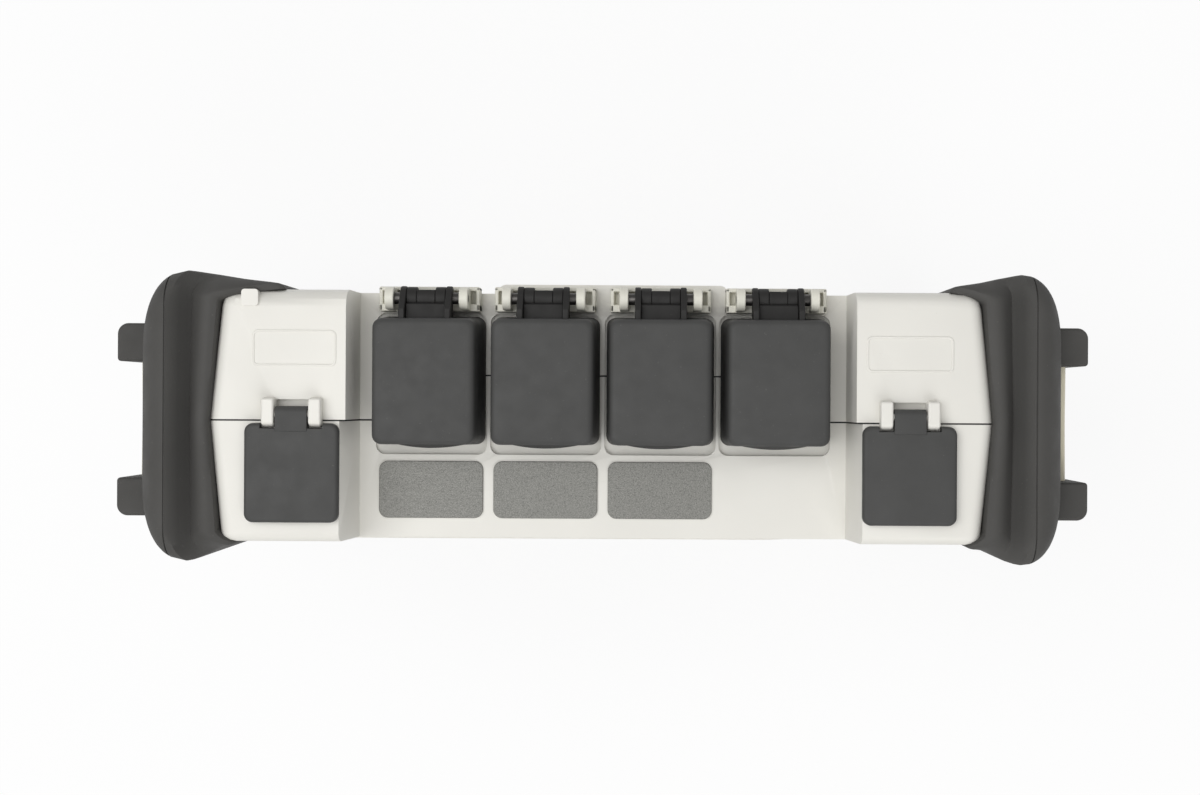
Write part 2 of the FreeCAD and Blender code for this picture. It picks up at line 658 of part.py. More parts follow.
# ---------------------------------------------------------------- port caps and hinges
def port_cap(x):
    """Hollow rubber cap: tapered box with a lip in front and the hinge arm behind."""
    def outline(z, inset):
        share = (z - CAP_BASE) / CAP_HEIGHT * CAP_TAPER + inset
        return rounded_wire((x - CAP_W / 2 + share, x + CAP_W / 2 - share),
                            (CAP_FRONT + share, CAP_BACK - share), CAP_CORNER - inset / 2, on_z(z))
    shell = rounded_top(outline, CAP_BASE, CAP_TOP, CAP_EDGE)
    hollow = Part.makeLoft([outline(CAP_BASE, CAP_WALL), outline(CAP_TOP - CAP_WALL, CAP_WALL)], True, True)
    half = CAP_LIP_LENGTH / 2
    radius = (half ** 2 + CAP_LIP ** 2) / (2 * CAP_LIP)
    lip = Part.makeCylinder(radius, CAP_LIP_HEIGHT, Vec(x, CAP_FRONT - CAP_LIP + radius, CAP_BASE))
    lip = lip.common(box((x - half, x + half), (CAP_FRONT - 2 * CAP_LIP, CAP_FRONT + CAP_WALL / 2),
                         (CAP_BASE, CAP_BASE + CAP_LIP_HEIGHT)))
    return join([taken(shell.fuse([lip] + cap_arm(x)), [hollow, cap_axle(x, PIN_R + PIN_PLAY)])])


def cap_arm(x):
    """Web, side ribs and notched barrel that carry a cap on its axle."""
    reach = CAP_BACK - CAP_TAPER + SNUG
    top = CAP_TOP - CAP_WALL
    under = AXLE_Z - BARREL_R
    over = AXLE_Z + BARREL_R
    back = AXLE_Y + BARREL_R + 2 * SNUG
    left = x - ARM_W / 2
    step = AXLE_Y - ARM_STEP
    web = ((reach, under + ARM_STEP), (reach, top - RIB_RISE), (step, over + ARM_GROOVE), (step, AXLE_Z),
           (AXLE_Y, under), (AXLE_Y - ARM_HEEL, under + ARM_STEP))
    rib = ((reach, AXLE_Z), (reach, top), (AXLE_Y - BARREL_R, top), (AXLE_Y + BARREL_R / 2, over),
           (back, AXLE_Z + ARM_STEP), (back, AXLE_Z - ARM_STEP), (AXLE_Y, AXLE_Z - ARM_STEP))
    barrel = rod(BARREL_R, Vec(left, AXLE_Y, AXLE_Z), Vec(left + ARM_W, AXLE_Y, AXLE_Z))
    notch = box(span(x, NOTCH_W), (AXLE_Y + BARREL_R - NOTCH_DEPTH, back + PAST), (under, over))
    parts = [prism(web, on_x(left), Vec(ARM_W, 0, 0)), taken(barrel, [notch])]
    for start in (left, left + ARM_W - RIB_W):
        parts.append(prism(rib, on_x(start), Vec(RIB_W, 0, 0)))
    return parts


def cap_axle(x, radius):
    """Axle of a port cap, as its pin or as the bore for it."""
    reach = ARM_W / 2 + ARM_GAP + EAR_T
    return rod(radius, Vec(x - reach, AXLE_Y, AXLE_Z), Vec(x + reach, AXLE_Y, AXLE_Z))


def hinge_bracket(x):
    """White bracket at the back edge of the recess: rimmed foot with two ears."""
    rim_top = RECESS_FLOOR + BRACKET_WALL_RISE
    foot = slab_z(span(x, BRACKET_W), span(BRACKET_Y, BRACKET_D), BRACKET_CORNER, (RECESS_FLOOR, rim_top))
    pan = slab_z(span(x, BRACKET_W - 2 * BRACKET_WALL), span(BRACKET_Y, BRACKET_D - 2 * BRACKET_WALL),
                 BRACKET_CORNER - BRACKET_WALL, (RECESS_FLOOR + BRACKET_T, rim_top + PAST))
    parts = [taken(foot, [pan])]
    for side in (-1, 1):
        start = x + side * (ARM_W / 2 + ARM_GAP) + (0 if side > 0 else -EAR_T)
        parts.append(rod(BARREL_R, Vec(start, AXLE_Y, AXLE_Z), Vec(start + EAR_T, AXLE_Y, AXLE_Z)))
        parts.append(box((start, start + EAR_T), span(AXLE_Y, 2 * BARREL_R), (RECESS_FLOOR, AXLE_Z)))
    return taken(join(parts), [cap_axle(x, PIN_R)])


# ---------------------------------------------------------------- optical adapters
def square_adapter(x):
    """Push-pull fibre adapter: flange, square mouth with keyway, and the ferrule sleeve."""
    z = POCKET_FLOOR
    rim = z + ADAPTER_RISE
    body = slab_z(span(x, ADAPTER_W), span(PORT_Y, ADAPTER_D), ADAPTER_CORNER, (z - ADAPTER_TAIL, rim))
    flange = slab_z(span(x, ADAPTER_FLANGE_W), span(PORT_Y, ADAPTER_FLANGE_D), ADAPTER_FLANGE_CORNER,
                    (z, z + ADAPTER_FLANGE_T))
    floor = rim - SLEEVE_L - SLEEVE_SINK
    mouth = box(span(x, MOUTH_W), span(PORT_Y, MOUTH_D), (floor, rim + PAST))
    keyway = box(span(x, KEYWAY_W), (PORT_Y - MOUTH_D / 2 - KEYWAY_D, PORT_Y), (floor, rim + PAST))
    return adapter_with_sleeve(x, taken(body.fuse(flange), [mouth, keyway]), floor)


def round_adapter(x):
    """Threaded fibre adapter: square flange, round neck and the ferrule sleeve."""
    z = POCKET_FLOOR
    rim = z + ADAPTER_RISE
    tail = slab_z(span(x, ADAPTER_W), span(PORT_Y, ADAPTER_D), ADAPTER_CORNER,
                  (z - ADAPTER_TAIL, z + ADAPTER_FLANGE_T / 2))
    flange = slab_z(span(x, ROUND_FLANGE_W), span(PORT_Y, ROUND_FLANGE_W), ADAPTER_FLANGE_CORNER,
                    (z, z + ADAPTER_FLANGE_T))
    neck = rod(ROUND_ADAPTER_R, Vec(x, PORT_Y, z), Vec(x, PORT_Y, rim))
    floor = rim - SLEEVE_L - SLEEVE_SINK
    mouth = rod(ROUND_MOUTH_R, Vec(x, PORT_Y, floor), Vec(x, PORT_Y, rim + PAST))
    return adapter_with_sleeve(x, taken(join([tail, flange, neck]), [mouth]), floor)


def adapter_with_sleeve(x, body, floor):
    """The adapter body with the sleeve that guides the ferrules standing on its floor."""
    sleeve = rod(SLEEVE_R, Vec(x, PORT_Y, floor - SLEEVE_BURY), Vec(x, PORT_Y, floor + SLEEVE_L))
    bore = rod(SLEEVE_BORE_R, Vec(x, PORT_Y, floor), Vec(x, PORT_Y, floor + SLEEVE_L + PAST))
    return taken(body.fuse(sleeve), [bore])


def label_plate(x):
    """Bare grey plate on the recess floor in front of a port."""
    return slab_z(span(x, PLATE_W), span(PLATE_Y, PLATE_D), PLATE_CORNER,
                  (RECESS_FLOOR, RECESS_FLOOR + PLATE_T))


# ---------------------------------------------------------------- side covers and sockets
def side_cover(side):
    """Rubber lid of a socket bay, with its skirt and the tab that turns on the pin."""
    x = side * COVER_X
    top = COVER_BASE + COVER_T

    def outline(z, inset):
        return rounded_wire((x - COVER_W / 2 + inset, x + COVER_W / 2 - inset),
                            (COVER_FRONT + inset, COVER_BACK - inset), COVER_CORNER - inset / 2, on_z(z))
    lid = rounded_top(outline, COVER_BASE, top, COVER_EDGE)
    inset = 2 * FIT
    skirt_x = (x - BAY_W / 2 + inset, x + BAY_W / 2 - inset)
    skirt_y = (BAY_BACK - BAY_D + inset, BAY_BACK - inset)
    skirt = slab_z(skirt_x, skirt_y, BAY_CORNER - FIT, (COVER_BASE - SKIRT_H, COVER_BASE + COVER_T / 4))
    hollow = slab_z((skirt_x[0] + SKIRT_WALL, skirt_x[1] - SKIRT_WALL),
                    (skirt_y[0] + SKIRT_WALL, skirt_y[1] - SKIRT_WALL),
                    SKIRT_CORNER, (COVER_BASE - SKIRT_H, COVER_BASE))
    notch_w = POST_T + 2 * FIT
    notch_y = (COVER_BACK - COVER_NOTCH, COVER_BACK + PAST)
    notches = [box(span(x + way * (TAB_W + notch_w) / 2, notch_w), notch_y, (COVER_BASE, top + PAST))
               for way in (-1, 1)]
    tab = box(span(x, TAB_W), (COVER_BACK - SKIRT_WALL, COVER_AXLE_Y), (COVER_BASE, COVER_AXLE_Z + TAB_R))
    left, right = span(x, TAB_W)
    barrel = rod(TAB_R, Vec(left, COVER_AXLE_Y, COVER_AXLE_Z), Vec(right, COVER_AXLE_Y, COVER_AXLE_Z))
    lid = taken(lid, notches)
    return join([taken(lid.fuse([skirt, tab, barrel]), [hollow, cover_axle(side, COVER_PIN_R + PIN_PLAY)])])


def cover_axle(side, radius):
    """Axle of a side cover, as its pin or as the bore for it."""
    left, right = span(side * COVER_X, TAB_W + 2 * FIT + 2 * POST_T)
    return rod(radius, Vec(left, COVER_AXLE_Y, COVER_AXLE_Z), Vec(right, COVER_AXLE_Y, COVER_AXLE_Z))


def cover_bracket(side):
    """Two white posts with the pin between them."""
    parts = [cover_axle(side, COVER_PIN_R)]
    for way in (-1, 1):
        start = side * COVER_X + way * (TAB_W / 2 + FIT) + (0 if way > 0 else -POST_T)
        end = start + POST_T
        parts.append(rod(POST_R, Vec(start, COVER_AXLE_Y, COVER_AXLE_Z),
                         Vec(end, COVER_AXLE_Y, COVER_AXLE_Z)))
        parts.append(box((start, end), (COVER_BACK - COVER_NOTCH + FIT, COVER_AXLE_Y + POST_R),
                         (CASE_TOP, COVER_AXLE_Z)))
    whole = join(parts)
    keep = box(span(side * COVER_X, 4 * TAB_W), span(COVER_AXLE_Y, 4 * POST_R), (CASE_TOP, HEIGHT))
    return whole.common(keep)


def socket_place(name):
    """Middle of a socket in X and Y: in its bay, at the back or the front wall."""
    side, end, distance, size, _ = SOCKETS[name]
    reach = BAY_D / 2 - distance - size[1] / 2
    return side * COVER_X, BAY_BACK - BAY_D / 2 + end * reach


def socket(name):
    """Socket body under a bay floor, open upwards, with what stands inside it."""
    _, _, _, size, mouth = SOCKETS[name]
    x, y = socket_place(name)
    top = BAY_FLOOR
    body = box(span(x, size[0]), span(y, size[1]), (top - size[2], top))
    if name == "power_jack":
        floor = top - JACK_DEPTH
        hole = rod(JACK_R, Vec(x, y, floor), Vec(x, y, top + PAST))
        pin = rod(JACK_PIN_R, Vec(x, y, floor - CONTACT_BURY), Vec(x, y, top - TONGUE_SINK))
        return taken(body, [hole]).fuse(pin)
    floor = top - size[2] + SOCKET_FLOOR_T
    body = taken(body, [box(span(x, mouth[0]), span(y, mouth[1]), (floor, top + PAST))])
    if name == "network_jack":
        edge = y + mouth[1] / 2
        latch = box(span(x, LATCH_W), (edge - CONTACT_BURY, edge + LATCH_D), (floor, top + PAST))
        return taken(body, [latch])
    tongue = box(span(x, mouth[0] - 2 * TONGUE_MARGIN), span(y, mouth[1] * TONGUE_SHARE),
                 (floor - CONTACT_BURY, top - TONGUE_SINK))
    return body.fuse(tongue)


# ---------------------------------------------------------------- screen, lamps and keys
def lens():
    """Glass over the display, a little below the bezel's edge."""
    front = -FRONT - BEZEL_RISE + LENS_SINK
    return slab_y(span(SCREEN_X, LENS_W), span(SCREEN_Z, LENS_H), LENS_CORNER, (front, front + LENS_T))


def display():
    """Display module behind the front wall."""
    front = INNER_FRONT + SNUG
    return slab_y(span(SCREEN_X, DISPLAY_W + 2 * DISPLAY_RIM), span(SCREEN_Z, DISPLAY_H + 2 * DISPLAY_RIM),
                  DISPLAY_CORNER, (front, front + DISPLAY_T))


def board_front():
    """Front of the main board, right behind the display."""
    return INNER_FRONT + SNUG + DISPLAY_T + SNUG


def key_board_front():
    """Front of the key board, behind the keys' travel."""
    return INNER_FRONT + FIT + KEY_FLANGE_T + KEY_TRAVEL + FIT


def board_top():
    """Upper edge of the main board, below the adapters."""
    return POCKET_FLOOR - ADAPTER_TAIL - BOARD_GAP


def lamp_places():
    """Middle of every lamp in X."""
    return [LAMPS_X + (number - (LAMP_COUNT - 1) / 2) * LAMP_PITCH for number in range(LAMP_COUNT)]


def lamps():
    """Light pipes in a row above the keys, joined behind the wall."""
    back = INNER_FRONT + LAMP_BAR_T
    xs = lamp_places()
    pipes = [rod(LAMP_R, Vec(x, -FRONT - 2 * SNUG, LAMP_Z), Vec(x, back, LAMP_Z)) for x in xs]
    beyond = LAMP_R + LAMP_BAR_MARGIN
    bar = box((xs[0] - beyond, xs[-1] + beyond), (INNER_FRONT, back),
              span(LAMP_Z, 2 * LAMP_R + LAMP_BAR_MARGIN))
    return join(pipes + [bar])


def arrow_outline(turn, grow):
    """One quarter of the ring round the OK key."""
    def build(y):
        outer = PAD_R + grow
        start = Vec(KEYS_X, y[0], PAD_Z)
        end = Vec(KEYS_X, y[1], PAD_Z)
        ring = rod(outer, start, end).cut(rod(OK_R + KEY_GAP - grow, start, end))
        side = (KEY_GAP / 2 - grow) * math.sqrt(2)
        far = 2 * outer
        corners = []
        for along, across in ((side, 0), (side + far, far), (side + far, -far)):
            angle = math.radians(turn)
            corners.append((KEYS_X + along * math.cos(angle) - across * math.sin(angle),
                            PAD_Z + along * math.sin(angle) + across * math.cos(angle)))
        return ring.common(prism(corners, on_y(y[0]), end - start))
    return build


def round_outline(x, z, radius):
    """A round key."""
    return lambda y: rod(radius, Vec(x, y[0], z), Vec(x, y[1], z))


def bar_outline(x, z, grow):
    """A function key."""
    return lambda y: slab_y(span(x, FUNCTION_W + 2 * grow), span(z, FUNCTION_H + 2 * grow),
                            FUNCTION_CORNER + grow, y)


def key_outlines(grow):
    """Outline of every key, each grown by a clearance, as a function of its span in Y."""
    outlines = {"ok_key": round_outline(KEYS_X, PAD_Z, OK_R + grow),
                "power_key": round_outline(KEYS_X, POWER_Z, POWER_R + grow)}
    for name, turn in (("right", 0), ("up", 90), ("left", 180), ("down", 270)):
        outlines["arrow_key_" + name] = arrow_outline(turn, grow)
    for row in range(FUNCTION_ROWS):
        for column in (0, 1):
            x = KEYS_X + (column - 0.5) * FUNCTION_PITCH_X
            z = FUNCTION_TOP_Z - row * FUNCTION_PITCH_Z
            outlines["function_key_%d" % (2 * row + column + 1)] = bar_outline(x, z, grow)
    return outlines


def keys():
    """Every key: a stem through the front wall and a flange that holds it in."""
    stems = key_outlines(0.0)
    flanges = key_outlines(KEY_FLANGE)
    shapes = {}
    for name, stem in stems.items():
        flange = flanges[name]((INNER_FRONT + FIT, INNER_FRONT + FIT + KEY_FLANGE_T))
        top = stem((-FRONT - KEY_RISE, INNER_FRONT + FIT + SNUG))
        top = top.makeChamfer(KEY_EDGE, front_edges(top, -FRONT - KEY_RISE))
        shapes[name] = join([top, flange])
    return shapes


def key_board():
    """Board with the switches under the keys."""
    front = key_board_front()
    return box(span(KEYS_X, 2 * (PAD_R + KEY_BOARD_MARGIN)), (front, front + KEY_BOARD_T),
               (POWER_Z - POWER_R - BOSS_R, PAD_Z + PAD_R + BOSS_R))


# ---------------------------------------------------------------- inside
def main_board():
    """Main circuit board."""
    front = board_front()
    return box(span(0, BOARD_W), (front, front + BOARD_T), (FOOT + WALL + BOARD_MARGIN, board_top()))


def optical_module():
    """Metal box with the laser drivers and receivers, right under the adapters."""
    return slab_y(span(0, MODULE_W), span(MODULE_Z, MODULE_H), MODULE_CORNER, (MODULE_FRONT, MODULE_BACK))


def battery_pack():
    """Wrapped battery behind its cover."""
    return slab_y(span(BATTERY_X, BATTERY_W), span(BATTERY_Z, BATTERY_H), BATTERY_CORNER,
                  (BATTERY_FRONT, BACK - DOOR_T - FIT))


def battery_cover():
    """Flat cover of the battery opening."""
    return slab_y(span(BATTERY_X, BATTERY_W + 2 * DOOR_RIM), span(BATTERY_Z, BATTERY_H + 2 * DOOR_RIM),
                  DOOR_CORNER, (BACK - DOOR_T, BACK))


# ---------------------------------------------------------------- kickstand
def kickstand():
    """Leg plate hung from its pin, with a window that lightens it."""
    left, right = span(STAND_X, 2 * STAND_HALF)
    bottom = STAND_AXLE_Z - STAND_LENGTH
    face = BACK - STAND_RELIEF + FIT
    plate = slab_y((left, right), (bottom, STAND_AXLE_Z + STAND_CORNER), STAND_CORNER, (face, face + STAND_T))
    plate = plate.common(box((left, right), (0, BUMPER_HALF * 2), (0, STAND_AXLE_Z)))
    middle = STAND_AXLE_Z - STAND_LENGTH / 2 - STAND_WINDOW_DROP
    window = slab_y(span(STAND_X, STAND_WINDOW_W), span(middle, STAND_WINDOW_H), STAND_WINDOW_CORNER,
                    (0, BUMPER_HALF * 2))
    barrel = rod(STAND_BARREL_R, Vec(left, STAND_AXLE_Y, STAND_AXLE_Z),
                 Vec(right, STAND_AXLE_Y, STAND_AXLE_Z))
    return taken(plate.fuse(barrel), [window, stand_axle(STAND_PIN_R + PIN_PLAY)])


def stand_axle(radius):
    """Axle of the kickstand, as its pin or as the bore for it."""
    left, right = span(STAND_X, 2 * (PANEL_HALF - STAND_PIN_END))
    return rod(radius, Vec(left, STAND_AXLE_Y, STAND_AXLE_Z), Vec(right, STAND_AXLE_Y, STAND_AXLE_Z))


# ---------------------------------------------------------------- all pieces
def pieces():
    """Every piece by name, in place."""
    body = case_body()
    parts = {"front_shell": front_shell(body), "rear_shell": rear_shell(body), "shell_seal": shell_seal(),
             "display_lens": lens(), "display_module": display(), "lamp_windows": lamps(),
             "key_board": key_board(), "main_board": main_board(), "optical_module": optical_module(),
             "battery_pack": battery_pack(), "battery_cover": battery_cover(),
             "kickstand": kickstand(), "kickstand_pin": stand_axle(STAND_PIN_R)}
    for name, side in SIDES:
        parts["bumper_" + name] = bumper(side)
        parts["strap_bar_" + name] = mirrored(bar_solid(), side)
        parts["side_cover_" + name] = side_cover(side)
        parts["cover_bracket_" + name] = cover_bracket(side)
    for number, x in PORTS:
        parts["port_cap_%d" % number] = port_cap(x)
        parts["hinge_bracket_%d" % number] = hinge_bracket(x)
        parts["hinge_pin_%d" % number] = cap_axle(x, PIN_R)
        adapter = round_adapter if number == PORT_COUNT else square_adapter
        parts["optical_adapter_%d" % number] = adapter(x)
        if number < PORT_COUNT:
            parts["label_plate_%d" % number] = label_plate(x)
    for name in SOCKETS:
        parts[name] = socket(name)
    parts.update(keys())
    return parts


def main():
    """Write every piece as a file of its own."""
    os.makedirs("parts", exist_ok=True)
    for name, shape in pieces().items():
        if not shape.isValid() or shape.Volume <= 0:
            print("not a good solid:", name)
        if len(shape.Solids) != 1:
            print("solids in", name, len(shape.Solids))
        shape.exportStep("parts/%s.step" % name)


main()
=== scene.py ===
"""Handheld optical time domain reflectometer: moulded shells, rubber boots, port caps, screen and keys.

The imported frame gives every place. Pieces are skins worked out as arrays on a grid of two
parameters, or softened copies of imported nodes. Lengths in the settings are metres.
"""

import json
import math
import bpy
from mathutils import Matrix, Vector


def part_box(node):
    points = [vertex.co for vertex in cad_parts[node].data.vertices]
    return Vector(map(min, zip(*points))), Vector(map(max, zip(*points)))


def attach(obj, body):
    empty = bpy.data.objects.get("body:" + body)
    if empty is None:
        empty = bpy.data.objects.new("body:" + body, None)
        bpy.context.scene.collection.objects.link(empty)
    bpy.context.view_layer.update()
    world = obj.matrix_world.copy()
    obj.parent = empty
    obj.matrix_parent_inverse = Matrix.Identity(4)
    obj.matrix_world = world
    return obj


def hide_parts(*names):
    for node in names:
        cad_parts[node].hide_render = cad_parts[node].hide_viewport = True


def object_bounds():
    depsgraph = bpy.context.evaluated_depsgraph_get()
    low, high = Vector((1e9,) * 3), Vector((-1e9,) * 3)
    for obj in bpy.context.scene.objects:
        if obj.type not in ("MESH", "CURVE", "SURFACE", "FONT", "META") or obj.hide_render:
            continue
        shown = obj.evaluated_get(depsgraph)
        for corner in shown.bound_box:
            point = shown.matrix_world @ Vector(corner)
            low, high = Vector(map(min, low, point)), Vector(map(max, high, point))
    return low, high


bl_info = {
    "name": "Optical Time Domain Reflectometer",
    "version": (1, 0, 0),
    "blender": (4, 5, 0),
    "location": "3D View > Sidebar > Reflectometer",
    "description": "Builds the finished surfaces of a handheld fibre tester around its packed frame",
    "category": "Object",
}

import bmesh
import bpy
import numpy as np
from bpy.props import FloatProperty, FloatVectorProperty, PointerProperty

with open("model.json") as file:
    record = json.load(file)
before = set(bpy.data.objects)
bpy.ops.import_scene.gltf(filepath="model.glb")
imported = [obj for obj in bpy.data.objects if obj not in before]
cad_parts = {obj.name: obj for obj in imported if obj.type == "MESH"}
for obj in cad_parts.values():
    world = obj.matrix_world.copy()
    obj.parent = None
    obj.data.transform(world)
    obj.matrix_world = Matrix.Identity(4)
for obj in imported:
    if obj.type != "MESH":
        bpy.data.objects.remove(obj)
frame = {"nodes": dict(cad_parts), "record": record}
NODES = frame["nodes"]
SLOTS = {row["node"]: row["material_slot"] for row in frame["record"]["subparts"]}
CAD_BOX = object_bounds()
MM = 0.001
SIDES = (("left", -1), ("right", 1))
PORTS = (1, 2, 3, 4)
ROOT = "tester"
QUARTER = math.pi / 2
MERGE = 2e-6
FRAME_WIDTH = 1200
# which of u, v and height runs along X, Y and Z
UPRIGHT, FACING_FRONT, FACING_OUT = (0, 1, 2), (0, 2, 1), (2, 1, 0)


def srgb(red, green, blue):
    """Scene linear colour from display values of 0 to 255."""
    return tuple(v / 12.92 if v <= 0.04045 else ((v + 0.055) / 1.055) ** 2.4
                 for v in (red / 255, green / 255, blue / 255))


def length(name, default, description):
    """Length in metres that the user may change."""
    return FloatProperty(name=name, default=default, min=0.0, precision=5, unit="LENGTH",
                         description=description)


def colour(name, red, green, blue, description):
    """Colour that the user may change."""
    return FloatVectorProperty(name=name, subtype="COLOR", size=3, min=0.0, max=1.0,
                               default=srgb(red, green, blue), description=description)


# ---------------------------------------------------------------- settings
class ShellSettings(bpy.types.PropertyGroup):
    """White mouldings."""
    white: colour("White", 232, 230, 223, "Colour of the moulded shells")
    edge: length("Edge", 0.00055, "Radius that softens the edges of the shells")
    frame_half: length("Frame line", 0.00030, "Half width of the raised line round each icon field")
    frame_rise: length("Frame rise", 0.00022, "Height of that line above the shell")
    frame_corner: length("Frame corner", 0.0012, "Radius of the corners of the raised line")


class RubberSettings(bpy.types.PropertyGroup):
    """Caps, covers and bumpers."""
    cap: colour("Cap rubber", 70, 70, 69, "Colour of the port caps and side covers")
    boot: colour("Boot rubber", 78, 77, 75, "Colour of the bumpers")
    cap_depth: length("Cap depth", 0.0334, "Port cap from front to back, without its lip and arm")
    cap_wall: length("Cap wall", 0.0022, "Wall of a port cap")
    cap_edge: length("Cap edge", 0.0015, "Radius round the top of a port cap")
    cap_corner: length("Cap corner", 0.0024, "Radius of a port cap's upright corners")
    cap_taper: length("Cap taper", 0.0013, "How far each side of a port cap leans in")
    cap_front_taper: length("Cap front taper", 0.0004, "How far the front of a port cap leans in")
    cap_crown: length("Cap crown", 0.0002, "Rise of a port cap's top over its middle")
    lip_depth: length("Lip depth", 0.0010, "How far the thumb lip stands out")
    lip_length: length("Lip length", 0.0180, "Length of the thumb lip along the cap")
    lip_height: length("Lip height", 0.0030, "Height of the thumb lip")
    arm_width: length("Arm width", 0.0132, "Width of a cap's hinge arm")
    rib_width: length("Rib width", 0.0016, "Width of each side rib of the arm")
    notch_width: length("Notch width", 0.0046, "Width of the flat notch behind the arm's barrel")
    cover_edge: length("Cover edge", 0.0006, "Radius that softens the edges of the side covers")
    lug_reach: length("Lug reach", 0.0081, "From the outer face of a bumper to the outside of its lugs")
    line_depth: length("Parting line", 0.00030, "Depth of the mould's parting line round a bumper")


class ControlSettings(bpy.types.PropertyGroup):
    """Screen, keys and small parts."""
    key_edge: length("Key edge", 0.00035, "Radius that softens the edges of the keys")
    symbol_rise: length("Symbol rise", 0.00006, "Height of the printed symbols above a key")
    screen_border: length("Screen border", 0.0060, "Black border between the lens's edge and the picture")
    screw_radius: length("Screw radius", 0.0024, "Radius of the screw heads on the battery cover")


class StageSettings(bpy.types.PropertyGroup):
    """Camera, lamps and floor."""
    camera_x: FloatProperty(name="Camera X", default=0.0123, unit="LENGTH",
                            description="Camera to the right of the middle")
    camera_y: FloatProperty(name="Camera Y", default=0.0046, unit="LENGTH",
                            description="Camera behind the middle")
    camera_rise: length("Camera rise", 0.417, "Camera above the top of the bumpers")
    roll: FloatProperty(name="Roll", default=math.radians(0.32), unit="ROTATION",
                        description="Turn of the camera about its view")
    lens: FloatProperty(name="Lens", default=50.3, min=10.0,
                        description="Focal length in millimetres on a 36 mm sensor")
    floor: colour("Floor", 250, 250, 250, "Colour of the floor")


# ---------------------------------------------------------------- arrays and meshes
def corners_of(node):
    """Lowest corner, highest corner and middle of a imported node, as arrays."""
    low, high = np.array(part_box(node))
    return low, high, (low + high) / 2


def together(*ways):
    """Points from one array for each way, spread over each other's shape."""
    return np.stack(np.broadcast_arrays(*ways), axis=-1)


def in_row(place, count, pitch, axis=0):
    """Places a pitch apart along an axis, in a row about one place."""
    places = np.repeat([place], count, axis=0)
    places[:, axis] += (np.arange(count) - (count - 1) / 2) * pitch
    return places


def rounded_rings(u, v, radius, steps, along):
    """Rounded rectangles between limits u and v, one for each entry of the arrays.

    Corner k turns about a point set in by the radius: (u, v) = centre + radius (cos t, sin t),
    with t from (k - 1) quarter turns to k quarter turns; straight sides get evenly spaced
    points between one corner's end and the next corner's start.
    Returns u and v of shape (rings, around) and the outward direction of shape (around, 2).
    """
    low_u, high_u, low_v, high_v, radius = np.broadcast_arrays(
        *[np.atleast_1d(np.asarray(value, float)) for value in (*u, *v, radius)])
    turn = (np.arange(4)[:, None] - 1) * QUARTER + np.linspace(0, QUARTER, steps + 1)
    right = np.array([1, 1, 0, 0], bool)
    upper = np.array([0, 1, 1, 0], bool)
    r = radius[:, None]
    centre_u = np.where(right, high_u[:, None] - r, low_u[:, None] + r)
    centre_v = np.where(upper, high_v[:, None] - r, low_v[:, None] + r)
    arc_u = centre_u[:, :, None] + r[:, :, None] * np.cos(turn)
    arc_v = centre_v[:, :, None] + r[:, :, None] * np.sin(turn)
    share = np.arange(1, along + 1) / (along + 1)
    parts = []
    for arc in (arc_u, arc_v):
        start, end = arc[:, :, -1:], np.roll(arc, -1, axis=1)[:, :, :1]
        parts.append(np.concatenate([arc, start + (end - start) * share], axis=2)
                     .reshape(len(radius), -1))
    side_turn = np.repeat(turn[:, -1:], along, axis=1)
    facing = np.concatenate([turn, side_turn], axis=1).ravel()
    return parts[0], parts[1], together(np.cos(facing), np.sin(facing))


def grid_quads(rows, columns, closed_rows=False):
    """Quads of a grid whose last column is joined to the first, and its last row where closed."""
    r = np.arange(rows if closed_rows else rows - 1)[:, None]
    c = np.arange(columns)
    down, on = (r + 1) % rows, (c + 1) % columns
    quads = together(r * columns + c, r * columns + on, down * columns + on, down * columns + c)
    return quads.reshape(-1, 4).tolist()


def merged(mesh):
    """Mesh opened for editing, its double points merged."""
    work = bmesh.new()
    work.from_mesh(mesh)
    bmesh.ops.remove_doubles(work, verts=work.verts, dist=MERGE)
    return work


def placed(name, mesh, material, body, smooth_below, bevel=None, replaces=()):
    """Piece of a mesh, with sharp edges above an angle, rounded edges, a material and a body."""
    smooth = np.empty(len(mesh.polygons), bool)
    mesh.polygons.foreach_get("use_smooth", smooth)
    mesh.set_sharp_from_angle(angle=math.radians(smooth_below))
    mesh.polygons.foreach_set("use_smooth", smooth)
    mesh.materials.clear()
    mesh.materials.append(MATERIALS[material])
    piece = bpy.data.objects.new(name, mesh)
    bpy.context.scene.collection.objects.link(piece)
    if bevel:
        edges = piece.modifiers.new("Soft edges", "BEVEL")
        edges.width = bevel
        edges.segments = 2
        edges.limit_method = "ANGLE"
        edges.angle_limit = math.radians(35)
        edges.use_clamp_overlap = True
        edges.harden_normals = True
    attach(piece, body)
    if replaces:
        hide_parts(*replaces)
    return piece


def build(name, points, faces, material, body=ROOT, smooth_below=40, flat=0, **options):
    """Piece from arrays: outward faces, smooth but for the last flat ones and at sharp edges.
    """
    mesh = bpy.data.meshes.new(name)
    mesh.from_pydata(np.asarray(points).reshape(-1, 3).tolist(), [], faces)
    mesh.polygons.foreach_set("use_smooth", np.arange(len(faces)) < len(faces) - flat)
    work = merged(mesh)
    bmesh.ops.recalc_face_normals(work, faces=work.faces)
    work.to_mesh(mesh)
    work.free()
    piece = placed(name, mesh, material, body, smooth_below, **options)
    return piece


